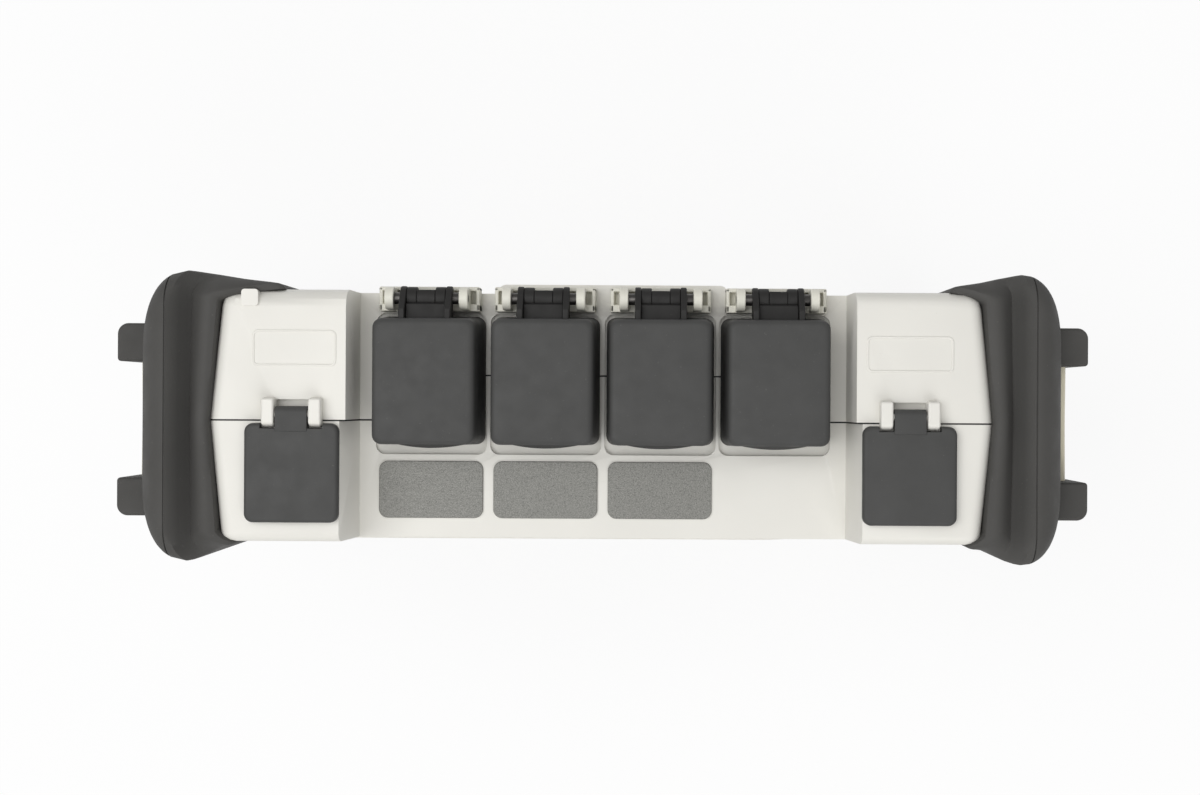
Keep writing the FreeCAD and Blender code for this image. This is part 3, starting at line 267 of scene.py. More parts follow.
def softened(nodes, width, body=ROOT, ending="_piece"):
    """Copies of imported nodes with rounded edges; with no body each rides on its node's own."""
    for node in nodes:
        mesh = NODES[node].data.copy()
        mesh.name = node + ending
        work = merged(mesh)
        bmesh.ops.dissolve_limit(work, angle_limit=math.radians(0.4), verts=work.verts, edges=work.edges,
                                 use_dissolve_boundaries=False)
        work.to_mesh(mesh)
        work.free()
        mesh.polygons.foreach_set("use_smooth", np.ones(len(mesh.polygons), bool))
        placed(node + ending, mesh, SLOTS[node], body or node, 30, width, (node,))


def skin(name, rings, material, body=ROOT, **options):
    """Closed skin through rings of shape (rings, around, 3), each end ring closed flat to its middle."""
    rows, columns = rings.shape[:2]
    points = np.concatenate([rings.reshape(-1, 3), rings[:1].mean(axis=1), rings[-1:].mean(axis=1)])
    count = rows * columns
    column = np.arange(columns)
    following = (column + 1) % columns
    last_row = count - columns
    start = together(count, following, column)
    end = together(count + 1, last_row + column, last_row + following)
    faces = grid_quads(rows, columns) + start.tolist() + end.tolist()
    return build(name, points, faces, material, body, flat=2 * columns, **options)


def loop_skin(name, rings, material, **options):
    """Skin of a closed path of closed rings, as a ring or a frame."""
    return build(name, rings, grid_quads(*rings.shape[:2], True), material, **options)


def prism(name, outline, axis, ends, material, body=ROOT, **options):
    """Plane outline carried straight along an axis from one end to the other, closed by flat faces."""
    columns = len(outline)
    points = [np.insert(outline, axis, end, axis=1) for end in ends]
    faces = grid_quads(2, columns) + [list(range(columns)), list(range(columns, 2 * columns))]
    return build(name, points, faces, material, body, **options)


def arc_points(centre, radius, start, end, count):
    """Points of an arc: centre + radius (cos t, sin t), t in degrees."""
    turn = np.radians(np.linspace(start, end, count))
    return together(np.cos(turn), np.sin(turn)) * radius + centre


def moulded(name, u, v, radius, profile, material, body=ROOT, order=UPRIGHT, **options):
    """Rounded plate: one rounded rectangle for each (inset, height) of the profile, closed at both ends.

    The order says which of u, v and height runs along X, Y and Z.
    """
    inset, height = np.asarray(profile, float).T
    ring_u, ring_v, _ = rounded_rings((u[0] + inset, u[1] - inset), (v[0] + inset, v[1] - inset),
                                      np.clip(radius - inset, 0.1 * MM, None), 6, 3)
    ways = ring_u, ring_v, height[:, None]
    return skin(name, together(*[ways[way] for way in order]), material, body, **options)


def edged(low, high, edge):
    """Profile of a plate from its flat foot to a top whose edge is a quarter circle."""
    turn = np.linspace(0, QUARTER, 5)
    return [(0.0, low)] + list(zip(edge * (1 - np.cos(turn)), high - edge * (1 - np.sin(turn))))


def carried_round(centre, axis, profile, around):
    """Points of shape (profile, around, 3): at each (distance, radius) a circle about the axis."""
    distance, radius = np.asarray(profile, float).T[..., None]
    angle = np.linspace(0, 2 * math.pi, around, endpoint=False)
    ways = [radius * np.cos(angle), radius * np.sin(angle)]
    ways.insert(axis, distance)
    return together(*ways) + centre


def turned(name, centre, axis, profile, material, around=32, **options):
    """Turned piece: the profile carried round the axis through the centre, closed at both ends."""
    return skin(name, carried_round(centre, axis, profile, around), material, **options)


def tube(name, centre, profile, material, around=32, **options):
    """Upright turned ring: the closed profile carried round the centre."""
    return loop_skin(name, carried_round(centre, 2, profile, around).swapaxes(0, 1), material, **options)


def blocks(name, lows, highs, material, body=ROOT, **options):
    """Separate blocks between pairs of corners, all in one mesh."""
    upper = np.array([[0, 0, 0], [1, 0, 0], [1, 1, 0], [0, 1, 0],
                      [0, 0, 1], [1, 0, 1], [1, 1, 1], [0, 1, 1]], bool)
    points = np.where(upper, highs[:, None], lows[:, None])
    sides = np.array([[0, 3, 2, 1], [4, 5, 6, 7], [0, 1, 5, 4], [1, 2, 6, 5], [2, 3, 7, 6], [3, 0, 4, 7]])
    faces = (sides + 8 * np.arange(len(lows))[:, None, None]).reshape(-1, 4)
    return build(name, points, faces.tolist(), material, body, **options)


# ---------------------------------------------------------------- materials
class Finish:
    """One procedural material, built on Object coordinates."""

    def __init__(self, name, base, roughness, metallic=0.0):
        self.material = bpy.data.materials.new(name)
        self.material.use_nodes = True
        self.tree = self.material.node_tree
        self.tree.nodes.clear()
        self.shader = self.tree.nodes.new("ShaderNodeBsdfPrincipled")
        output = self.tree.nodes.new("ShaderNodeOutputMaterial")
        self.link(self.shader.outputs[0], output.inputs["Surface"])
        self.place = self.tree.nodes.new("ShaderNodeTexCoord").outputs["Object"]
        self.sockets(("Base Color", (*base, 1)), ("Roughness", roughness), ("Metallic", metallic))
        self.base = base
        self.colour_from = None
        self.material.diffuse_color = (*base, 1)

    def link(self, source, target):
        """Joins an output to an input."""
        self.tree.links.new(source, target)

    def sockets(self, *pairs):
        """Sets sockets of the shader, from pairs of name and value."""
        for name, value in pairs:
            self.shader.inputs[name].default_value = value

    def noise(self, size, detail=2.0, stretch=(1, 1, 1)):
        """Noise whose features are about the given size in millimetres."""
        mapping = self.tree.nodes.new("ShaderNodeMapping")
        mapping.inputs["Scale"].default_value = stretch
        self.link(self.place, mapping.inputs["Vector"])
        node = self.tree.nodes.new("ShaderNodeTexNoise")
        node.inputs["Scale"].default_value = 1 / (size * MM)
        node.inputs["Detail"].default_value = detail
        node.inputs["Roughness"].default_value = 0.5
        self.link(mapping.outputs[0], node.inputs["Vector"])
        return node.outputs["Fac"]

    def between(self, source, low, high, to_low=0.0, to_high=1.0):
        """Values from low to high spread over new limits."""
        node = self.tree.nodes.new("ShaderNodeMapRange")
        for socket, value in zip(("From Min", "From Max", "To Min", "To Max"), (low, high, to_low, to_high)):
            node.inputs[socket].default_value = value
        self.link(source, node.inputs["Value"])
        return node.outputs[0]

    def tint(self, factor, other):
        """Mixes another colour in by a factor."""
        node = self.tree.nodes.new("ShaderNodeMix")
        node.data_type = "RGBA"
        self.link(factor, node.inputs["Factor"])
        if self.colour_from is None:
            node.inputs["A"].default_value = (*self.base, 1)
        else:
            self.link(self.colour_from, node.inputs["A"])
        node.inputs["B"].default_value = (*other, 1)
        self.colour_from = node.outputs["Result"]
        self.link(self.colour_from, self.shader.inputs["Base Color"])

    def mottle(self, size, amount):
        """Broad light and dark patches, by a share of the base colour."""
        darker = tuple(part * (1 - amount) for part in self.base)
        self.tint(self.between(self.noise(size, 3.0), 0.35, 0.65), darker)

    def specks(self, size, other, start, end, strength):
        """Small separate spots of another colour, where the noise is above start."""
        self.tint(self.between(self.noise(size, 1.0), start, end, 0.0, strength), srgb(*other))

    def pits(self, light_size, light, dark_size, dark):
        """Fine light and dark spots, as on a blasted plate."""
        self.tint(self.between(self.noise(light_size), 0.44, 0.62), srgb(*light))
        self.tint(self.between(self.noise(dark_size, 1.0), 0.55, 0.70, 0.0, 0.7), srgb(*dark))

    def gloss(self, size, low, high):
        """Patches of roughness from low to high."""
        self.link(self.between(self.noise(size, 4.0), 0.3, 0.7, low, high), self.shader.inputs["Roughness"])

    def grain(self, size, height, stretch=(1, 1, 1)):
        """Fine relief; the height is in millimetres."""
        bump = self.tree.nodes.new("ShaderNodeBump")
        bump.inputs["Strength"].default_value = 1.0
        bump.inputs["Distance"].default_value = height * MM
        self.link(self.noise(size, 2.0, stretch), bump.inputs["Height"])
        self.link(bump.outputs[0], self.shader.inputs["Normal"])


MATERIALS = {}
ALONG_X, ALONG_Y = (0.1, 1, 1), (1, 0.15, 1)
# slot: display colour, roughness, metallic, mottle (size, share), gloss (size, low, high), then other
# steps: specks (size, colour, start, end, strength), pits (size and colour of the light and the dark
# ones), grain (size, height, stretch) and the shader's own sockets. Sizes are in millimetres. The
# three colours in the settings aren't repeated here.
FINISHES = {
    "cap_rubber": (None, 0.62, 0, (11, 0.08), (4, 0.54, 0.68), {
        "specks": (0.7, (96, 96, 93), 0.74, 0.78, 0.35), "grain": (0.35, 0.012),
        "sockets": (("Specular IOR Level", 0.36),)}),
    "bumper_rubber": (None, 0.72, 0, (18, 0.08), (6, 0.64, 0.78), {
        "specks": (0.9, (100, 98, 94), 0.75, 0.79, 0.35), "grain": (0.45, 0.016),
        "sockets": (("Specular IOR Level", 0.30),)}),
    "arm_rubber": ((38, 37, 36), 0.6, 0, (6, 0.08), (3, 0.52, 0.66), {
        "specks": (0.7, (66, 65, 62), 0.75, 0.79, 0.3), "grain": (0.35, 0.012),
        "sockets": (("Specular IOR Level", 0.34),)}),
    "shell_white": (None, 0.42, 0, (30, 0.03), (8, 0.36, 0.48), {
        "specks": (1.1, (198, 196, 186), 0.8, 0.84, 0.2), "grain": (0.5, 0.008),
        "sockets": (("Specular IOR Level", 0.42),)}),
    # painted shade: the shells' white made a little darker and more olive, for the shade that the caps cast
    # on their brackets
    "bracket_white": ((228, 226, 214), 0.4, 0, (6, 0.04), (4, 0.34, 0.46), {
        "specks": (0.9, (184, 182, 170), 0.8, 0.84, 0.2), "grain": (0.4, 0.008)}),
    # painted reflection: the strap bar is polished steel, and this plain cream colour stands in for the white
    # surroundings that it mirrors
    "bar_cream": ((226, 220, 196), 0.4, 0, (10, 0.05), (4, 0.34, 0.46), {"grain": (0.6, 0.006)}),
    "pin_steel": ((88, 86, 84), 0.38, 0.9, (3, 0.12), (2, 0.3, 0.46), {"grain": (0.3, 0.004, ALONG_X)}),
    "adapter_metal": ((192, 190, 184), 0.3, 1, (4, 0.08), (3, 0.24, 0.38), {"grain": (0.4, 0.003)}),
    "adapter_plastic": ((34, 82, 150), 0.38, 0, (6, 0.08), (3, 0.32, 0.44), {"grain": (0.5, 0.006)}),
    "sleeve_ceramic": ((232, 230, 222), 0.22, 0, (2, 0.04), (1, 0.18, 0.28), {}),
    "plate_grey": ((122, 122, 117), 0.5, 0.2, None, (0.6, 0.42, 0.6), {
        "pits": (0.26, (146, 145, 140), 0.36, (92, 92, 88)), "grain": (0.3, 0.005)}),
    "socket_metal": ((178, 178, 176), 0.32, 1, (3, 0.1), (2, 0.26, 0.4), {"grain": (0.3, 0.003, ALONG_Y)}),
    "socket_black": ((34, 34, 35), 0.5, 0, (4, 0.15), (2, 0.44, 0.58), {"grain": (0.4, 0.008)}),
    "contact_gold": ((208, 172, 96), 0.25, 1, (1, 0.1), (0.6, 0.2, 0.34), {}),
    "circuit_green": ((28, 84, 52), 0.45, 0, (6, 0.2), (3, 0.36, 0.5), {
        "specks": (1.6, (186, 170, 104), 0.67, 0.71, 0.9), "grain": (0.8, 0.02)}),
    "module_metal": ((168, 168, 165), 0.4, 1, (10, 0.08), (6, 0.34, 0.48), {"grain": (0.6, 0.005, ALONG_X)}),
    "battery_wrap": ((44, 60, 96), 0.36, 0, (12, 0.12), (6, 0.3, 0.44), {"grain": (2, 0.02)}),
    "seal_black": ((38, 38, 37), 0.7, 0, (4, 0.15), (3, 0.6, 0.78), {"grain": (0.4, 0.01)}),
    "lens_glass": ((12, 13, 15), 0.06, 0, (30, 0.3), (20, 0.04, 0.10), {
        "sockets": (("Specular IOR Level", 0.55), ("Coat Weight", 0.6), ("Coat Roughness", 0.03))}),
    "screen_off": ((30, 33, 38), 0.09, 0, (50, 0.12), (20, 0.06, 0.13), {
        "sockets": (("Specular IOR Level", 0.55), ("Coat Weight", 0.6), ("Coat Roughness", 0.04))}),
    "display_black": ((22, 24, 28), 0.25, 0, (20, 0.1), (4, 0.2, 0.3), {}),
    "lamp_clear": ((196, 204, 196), 0.18, 0, (1, 0.1), (0.6, 0.12, 0.24), {
        "sockets": (("Transmission Weight", 0.35),)}),
    "key_power": ((172, 60, 52), 0.55, 0, (4, 0.08), (2, 0.48, 0.62), {"grain": (0.4, 0.01)}),
    "key_grey": ((96, 98, 102), 0.58, 0, (4, 0.08), (2, 0.5, 0.64), {"grain": (0.4, 0.01)}),
    "symbol_white": ((222, 222, 216), 0.6, 0, (1, 0.1), (0.6, 0.52, 0.66), {}),
    "screw_zinc": ((120, 120, 118), 0.35, 1, (2, 0.1), (1, 0.28, 0.42), {}),
}


def make_materials(scene):
    """Every finish of the tester, by the record's slot name or a name of its own."""
    chosen = {"cap_rubber": scene.rubber_settings.cap, "bumper_rubber": scene.rubber_settings.boot,
              "shell_white": scene.shell_settings.white}
    for slot, (base, roughness, metallic, mottle, gloss, steps) in FINISHES.items():
        base = chosen[slot] if slot in chosen else srgb(*base)
        finish = Finish(slot.replace("_", " ").capitalize(), base, roughness, metallic)
        if mottle:
            finish.mottle(*mottle)
        finish.gloss(*gloss)
        for step, values in steps.items():
            getattr(finish, step)(*values)
        MATERIALS[slot] = finish.material


def dress_nodes():
    """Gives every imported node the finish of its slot."""
    for node, slot in SLOTS.items():
        mesh = NODES[node].data
        mesh.materials.clear()
        mesh.materials.append(MATERIALS[slot])


# ---------------------------------------------------------------- port caps
def cap_body(number, rubber):
    """Hollow cap: rings from the middle of its top, over the edge, down the wall and up inside.

    Each ring is a rounded rectangle set in from the base outline by the taper, (height above base) /
    (cap height) x taper, plus the edge's own quarter circle. The thumb lip pushes front points out by
    depth x (1 - (x / half length) squared) below the lip's height.
    """
    node = "port_cap_%d" % number
    low, high, middle = corners_of(node)
    front, base = low[1] + rubber.lip_depth, low[2]
    back = front + rubber.cap_depth
    height = high[2] - base
    wall, edge, taper, crown = rubber.cap_wall, rubber.cap_edge, rubber.cap_taper, rubber.cap_crown
    ceiling = height - wall
    half = (high[0] - low[0]) / 2
    turn = np.linspace(0, QUARTER, 7)
    rim, heart = 0.3 * MM, half - MM
    # each station: how far in from the base outline, and its height above the base
    top_in = np.array([heart, half * 0.75, half * 0.5, half * 0.3]) - taper
    top_z = height - crown * (1 - (top_in / half) ** 0.5)
    over_in = edge * (1 - np.sin(turn))
    over_z = height - crown - edge * (1 - np.cos(turn))
    lip_z = np.array([1.25, 1.12, 1.0, 0.9]) * rubber.lip_height
    down_z = np.concatenate([[height * 0.6, height * 0.3], lip_z, [rim, 0]])
    down_in = np.concatenate([np.zeros(len(down_z) - 1), [rim]])
    inner_z = np.array([0, rim, height * 0.5, ceiling - edge, ceiling - edge * 0.3, ceiling])
    inner_in = wall + np.array([-rim, 0, 0, 0, edge * 0.3, edge])
    ceiling_in = np.array([half * 0.6, heart]) - taper
    inset = np.concatenate([top_in, over_in, down_in, inner_in, ceiling_in])
    rise = np.concatenate([top_z, over_z, down_z, inner_z, [ceiling, ceiling]])
    share = inset + taper * rise / height
    front_share = inset + rubber.cap_front_taper * rise / height
    radius = np.minimum(np.clip(rubber.cap_corner - inset * 0.5, 0.6 * MM, None), half - share - 1e-5)
    u, v, facing = rounded_rings((low[0] + share, high[0] - share), (front + front_share, back - share),
                                 radius, 6, 17)
    outer = np.arange(len(inset)) < len(top_in) + len(over_in) + len(down_in)
    reach = np.clip(1 - ((u - middle[0]) / (rubber.lip_length / 2)) ** 2, 0, None)
    step = np.clip((rubber.lip_height * 1.12 - rise) / (rubber.lip_height * 0.22), 0, 1)
    front_side = -facing[:, 1] > 0.99
    v = v - rubber.lip_depth * reach * (step * outer)[:, None] * front_side
    skin(node + "_rubber", together(u, v, base + rise[:, None]), "cap_rubber", node, smooth_below=60,
         replaces=(node,))


def cap_arm(number, rubber):
    """Web, side ribs and a barrel in three lengths, the middle one flat behind, between a cap and its pin."""
    node = "port_cap_%d" % number
    low, high, middle = corners_of(node)
    axle = corners_of("hinge_pin_%d" % number)[2][1:]
    y, z = axle
    back = high[1] - y
    barrel = back - 0.2 * MM
    front = low[1] + rubber.lip_depth + rubber.cap_depth - rubber.cap_wall
    top = high[2] - rubber.cap_wall
    under = z - barrel
    half, notch = rubber.arm_width / 2, rubber.notch_width / 2
    inner = half - rubber.rib_width
    gap = 0.02 * MM
    web = [[front, under + MM], [front, top - 1.8 * MM], [y - 1.6 * MM, z + barrel + 0.7 * MM],
           [y - 1.2 * MM, z + barrel - 0.3 * MM], [y - MM, z], [y, under + 0.2 * MM],
           [y - 4 * MM, under + MM]]
    rib = np.concatenate([[[front, z], [front, top], [y - 2.9 * MM, top]],
                          arc_points(axle, back, 66, -25, 10), [[y, z - MM]]])
    full = arc_points(axle, barrel, 0, 345, 24)
    flat = np.minimum(full, [y + barrel - 0.8 * MM, np.inf])
    for part, outline, start, end, edge in (
            ("web", web, -inner, inner, 0.2), ("block_left", full, -inner, -notch - gap, 0.3),
            ("block_right", full, notch + gap, inner, 0.3), ("barrel", flat, -notch, notch, 0.12),
            ("rib_left", rib, -half, -inner - gap, 0.3), ("rib_right", rib, inner + gap, half, 0.3)):
        prism("%s_%s" % (node, part), outline, 0, (middle[0] + start, middle[0] + end), "arm_rubber", node,
              bevel=edge * MM)


class OTDR_OT_port_caps(bpy.types.Operator):
    """Build the four port caps with their thumb lips and hinge arms"""
    bl_idname = "otdr.port_caps"
    bl_label = "Port caps"

    def execute(self, context):
        for number in PORTS:
            cap_body(number, context.scene.rubber_settings)
            cap_arm(number, context.scene.rubber_settings)
        return {"FINISHED"}


def pin(node):
    """Turned steel pin along X in place of a packed one, with domed ends."""
    low, high, middle = corners_of(node)
    radius, half = (high[2] - low[2]) / 2, (high[0] - low[0]) / 2
    dome = radius * 0.35
    turn = np.linspace(0, QUARTER, 6)
    end = together(half - dome * (1 - np.sin(turn)), radius - dome + dome * np.cos(turn))
    turned(node + "_piece", middle, 0, np.concatenate([end[::-1] * [-1, 1], end]), "pin_steel", 28,
           smooth_below=50, replaces=(node,))


def hinge_bracket(number):
    """White bracket: a frame with a broad front bar round a low floor, and two ears with round heads.

    An ear's outline goes up from the floor and over the axle as half a circle.
    """
    node = "hinge_bracket_%d" % number
    (x0, _, z0), (x1, _, _), _ = corners_of(node)
    pin_low, pin_high, pin_middle = corners_of("hinge_pin_%d" % number)
    axle = pin_middle[1:]
    y0, y1, rim = axle[0] - 3.1 * MM, axle[0] + 3.3 * MM, z0 + 5.4 * MM
    wall, step, gap = MM, 0.5 * MM, 0.02 * MM
    # lowest and highest corner of the front bar, the back wall, both side walls and the floor
    corners = np.array([[[x0, y0, z0], [x1, y0 + 2 * MM, rim]],
                        [[x0, y1 - 1.1 * MM, z0], [x1, y1, rim]],
                        [[x0, y0 + gap, z0], [x0 + wall, y1 - gap, rim]],
                        [[x1 - wall, y0 + gap, z0], [x1, y1 - gap, rim]],
                        [[x0 + step, y0 + step, z0], [x1 - step, y1 - step, z0 + 2.4 * MM]]])
    # frame and ears are white, tinted darker and more olive as painted shade from the caps
    blocks(node + "_frame", corners[:, 0], corners[:, 1], "bracket_white", bevel=0.35 * MM,
           replaces=(node,))
    radius, width, foot = 2.9 * MM, 2.3 * MM, z0 + 0.3 * MM
    ear = np.concatenate([[[axle[0] + radius, foot]], arc_points(axle, radius, 0, 180, 17),
                          [[axle[0] - radius, foot]]])
    for label, start in (("left", pin_low[0]), ("right", pin_high[0] - width)):
        prism("%s_ear_%s" % (node, label), ear, 0, (start, start + width), "bracket_white",
              bevel=0.3 * MM)


class OTDR_OT_hinges(bpy.types.Operator):
    """Build the hinge brackets of the port caps and their pins"""
    bl_idname = "otdr.hinges"
    bl_label = "Hinge brackets and pins"

    def execute(self, context):
        for number in PORTS:
            hinge_bracket(number)
            pin("hinge_pin_%d" % number)
        return {"FINISHED"}


# ---------------------------------------------------------------- bumpers
def boot(name, side, rubber):
    """Rubber boot round one end of the case.

    Stations run from the lip at the case over the valley, the ridge and the parting line to the
    middle of the outer face. Each station is a rounded rectangle in Y and Z. Its distance from
    the case's face and its X are given for top, back and front, and mixed round the corners by the
    squares of the outward direction, which add up to one. The bottom has the top's stations without
    their valley. Beyond the tip a station at angle t has gone out by sin t to the power 1.15 of the
    reach and drawn in by 1 - cos t of the drop. On top the inner stations follow the case's draft:
    X less a share of the distance from the joint.
    """
    node = "bumper_" + name
    low, high, _ = corners_of(node)
    near, far = sorted(np.abs([low[0], high[0]]))
    case, outer = far - 27.2 * MM, far - rubber.lug_reach
    out_top, out_back, out_front = 5.0 * MM, 4.6 * MM, 5.2 * MM
    case_top, case_back, case_front = high[2] - out_top, high[1] - out_back, low[1] + out_front
    wrap, wrap_front, ridge, reach = case - near, 7 * MM, 9.3 * MM, outer - case
    tip, drop = (5.8 * MM, 19.5 * MM) if side < 0 else (7.4 * MM, 16.5 * MM)
    top_drop, corner, power, top_power = 20.0 * MM, 8.0 * MM, 1.15, 1.06
    # rows: X from the case end at top; share of the way round the flange to the tip at back, and the
    # same in front; distance out from the case at top, back and front; corner radius; lean on top
    table = np.array([
        [-0.60, 0.00, 0.00, -3.0, -0.4, -0.4, 3.0, 2.6],
        [-0.40, 0.00, 0.00, 0.2, 0.1, 0.1, 3.2, 2.6],
        [-0.20, 0.02, 0.02, 1.0, 0.9, 0.6, 3.4, 2.6],
        [0.50, 0.06, 0.08, 1.6, 1.45, 1.0, 3.8, 2.0],
        [1.50, 0.14, 0.14, 1.7, 1.75, 1.2, 4.2, 1.9],
        [2.60, 0.26, 0.22, 1.35, 2.1, 1.3, 4.4, 1.7],
        [3.50, 0.42, 0.34, 0.4, 2.6, 1.6, 4.6, 1.3],
        [4.30, 0.56, 0.46, -1.0, 3.2, 2.4, 4.8, 0.9],
        [5.00, 0.70, 0.60, -2.0, 3.8, 3.5, 5.0, 0.6],
        [5.80, 0.82, 0.74, -1.0, 4.2, 4.4, 5.4, 0.4],
        [6.90, 0.92, 0.88, 1.6, 4.5, 5.0, 6.2, 0.2],
        [8.10, 0.98, 0.97, 3.9, 4.6, 5.15, 7.0, 0.1],
    ])
    table = np.column_stack([table[:, 0] * MM, table[:, 1] * (wrap + tip) - wrap,
                             table[:, 2] * (wrap_front + tip) - wrap_front, table[:, 3:] * MM])
    # angles of the stations on the outer curve; the first four stand for the ridge and its parting line
    line = math.asin(((ridge - tip) / (reach - tip)) ** (1 / power)) + 0.012 * np.arange(4)
    t = np.concatenate([line, np.linspace(line[-1], QUARTER, 20)[1:]])
    groove = np.zeros(len(t))
    groove[1:3] = rubber.line_depth
    plan_x = tip + (reach - tip) * np.sin(t) ** power
    drawn = drop * (1 - np.cos(t)) + groove
    turn = np.arcsin(np.clip((plan_x - ridge) / (reach - ridge), 0, 1) ** (1 / top_power))
    rows = np.column_stack([plan_x, plan_x, plan_x, out_top - top_drop * (1 - np.cos(turn)) - groove,
                            out_back - drawn, out_front - drawn, np.full(len(t), corner), np.zeros(len(t))])
    last = rows[-1:].repeat(2, axis=0)
    last[:, 3:6] -= np.array([[4.0], [10.0]]) * MM
    last[:, 6] = [5.0 * MM, 1.5 * MM]
    stations = np.concatenate([table, rows, last])
    x_top, x_back, x_front, off_top, off_back, off_front, radius, lean = stations.T
    foot = off_top.copy()
    foot[:len(table)] = np.maximum.accumulate(table[:, 3])
    sole = 4.0 * MM
    y, z, facing = rounded_rings((case_front - off_front, case_back + off_back),
                                 (sole - np.minimum(foot, sole), case_top + off_top), radius, 10, 24)
    sideways, upward = (facing ** 2).T
    bow = lean[:, None] * np.clip(np.abs(y + MM) / (33 * MM), 0, 1)
    x_side = np.where(facing[:, 0] > 0, x_back[:, None], x_front[:, None])
    x = (x_top[:, None] - bow) * upward + x_side * sideways + case
    return skin(node + "_boot", together(side * x, y, z), "bumper_rubber", smooth_below=42,
                replaces=(node,))


def scooped(piece, name, side):
    """Cuts the hollow behind the strap bar out of a boot and keeps the result as its mesh."""
    low, high, (_, _, z) = corners_of("strap_bar_" + name)
    outer, half = max(abs(low[0]), abs(high[0])), 11 * MM
    profile = [(4 * MM, outer - 8.6 * MM), (1.2 * MM, outer - 8.0 * MM), (0, outer - 6.2 * MM), (0, outer)]
    cutter = moulded("Scoop", (z - half, z + half), (-15.4 * MM, 13.0 * MM), 4 * MM,
                     np.multiply(profile, [1, side]), "bumper_rubber", order=FACING_OUT)
    carve = piece.modifiers.new("Scoop", "BOOLEAN")
    carve.operation = "DIFFERENCE"
    carve.solver = "EXACT"
    carve.object = cutter
    bpy.context.view_layer.update()
    carved = bpy.data.meshes.new_from_object(piece.evaluated_get(bpy.context.evaluated_depsgraph_get()))
    piece.modifiers.clear()
    piece.data = carved
    bpy.data.objects.remove(cutter)


def lugs(name, side):
    """Two strap lugs: upright rounded blocks whose far outer corner has the larger radius."""
    low, high, _ = corners_of("bumper_" + name)
    bar_z = corners_of("strap_bar_" + name)[2][2]
    outer = max(abs(low[0]), abs(high[0])) - 0.3 * MM
    half_height, half_width, big, small = 11.5 * MM, 4.95 * MM, 2.8 * MM, 0.9 * MM
    start_x = outer - 12 * MM
    for label, middle, far in (("back", 18.9 * MM, 1), ("front", -21.2 * MM, -1)):
        y_far, y_near = middle + far * half_width, middle - far * half_width
        plan = np.concatenate([[[start_x, y_near], [start_x, y_far]],
                               arc_points((outer - big, y_far - far * big), big, far * 90, 0, 9),
                               arc_points((outer - small, y_near + far * small), small, 0, -far * 90, 6)])
        prism("bumper_%s_lug_%s" % (name, label), plan * [side, 1], 2,
              (bar_z - half_height, bar_z + half_height), "bumper_rubber", bevel=0.8 * MM)


def strap_bar(name, side):
    """Round bar between the lugs, close to the boot, with a shallow waist worn in by the strap."""
    node = "strap_bar_" + name
    low, high, middle = corners_of(node)
    radius, wear, half = 1.45 * MM, 0.12 * MM, (high[1] - low[1]) / 2
    along = np.linspace(-half, half, 25)
    worn = radius - wear * np.exp(-(along / (half * 0.45)) ** 2)
    # the bar's cream finish is painted reflection, a plain colour in place of the white surroundings mirrored
    # by the steel
    turned(node + "_piece", middle - [side * 0.9 * MM, 0, 0], 1, together(along, worn),
           "bar_cream", 28, smooth_below=50, replaces=(node,))


class OTDR_OT_bumpers(bpy.types.Operator):
    """Build the two rubber boots with their lugs and strap bars"""
    bl_idname = "otdr.bumpers"
    bl_label = "Bumpers and strap bars"

    def execute(self, context):
        for name, side in SIDES:
            scooped(boot(name, side, context.scene.rubber_settings), name, side)
            lugs(name, side)
            strap_bar(name, side)
        return {"FINISHED"}


# ---------------------------------------------------------------- shells
def raised_frame(name, x, y, z, shell):
    """Raised line round a field, limits in mm: an arched section carried round a rounded rectangle."""
    u, v, facing = rounded_rings(np.multiply(x, MM), np.multiply(y, MM), shell.frame_corner, 6, 2)
    out = shell.frame_half * np.array([-1, -0.75, -0.3, 0.3, 0.75, 1, 1, -1])
    rise = shell.frame_rise * np.array([0, 0.75, 1, 1, 0.75, 0, -0.6, -0.6])
    rings = together(u[0][:, None] + facing[:, :1] * out, v[0][:, None] + facing[:, 1:] * out, z + rise)
    loop_skin(name, rings, "shell_white", smooth_below=60)


class OTDR_OT_shells(bpy.types.Operator):
    """Soften the two white shells and raise the lines round their icon fields"""
    bl_idname = "otdr.shells"
    bl_label = "Shells"

    def execute(self, context):
        shell = context.scene.shell_settings
        softened(("front_shell", "rear_shell"), shell.edge, ending="_moulding")
        top = corners_of("shell_seal")[1][2] + 0.35 * MM
        raised_frame("icon_frame_left", (-87.6, -67.0), (12.9, 21.5), top, shell)
        raised_frame("icon_frame_right", (67.1, 88.5), (12.1, 20.7), top, shell)
        return {"FINISHED"}


# ---------------------------------------------------------------- optical ports
def ferrule_sleeve(number):
    """Ceramic sleeve in an adapter: a tube with its mouth flared a little."""
    _, high, (x, y, _) = corners_of("optical_adapter_%d" % number)
    profile = np.array([(0, 1.95), (0, 1.55), (-0.25, 1.3), (-7.6, 1.3), (-7.6, 2.15), (-0.3, 2.15)]) * MM
    tube("optical_adapter_%d_sleeve" % number, (x, y, high[2] - 1.9 * MM), profile, "sleeve_ceramic",
         smooth_below=45)


def thread(node):
    """Thread round a neck: the radius falls and rises by its depth along each turn's pitch."""
    _, high, (x, y, _) = corners_of(node)
    turns, per_turn, depth, core = 9, 4, 0.24 * MM, 4.02 * MM
    distance = np.linspace(-7.5 * MM, -0.3 * MM, turns * per_turn + 1)
    radius = core + depth * np.abs((np.arange(len(distance)) / per_turn) % 1 * 2 - 1)
    inside = np.array([(-0.3, 3.9), (-7.5, 3.9)]) * MM
    profile = np.concatenate([together(distance, radius), inside])
    tube(node + "_thread", (x, y, high[2]), profile, "adapter_metal", 40, smooth_below=20)


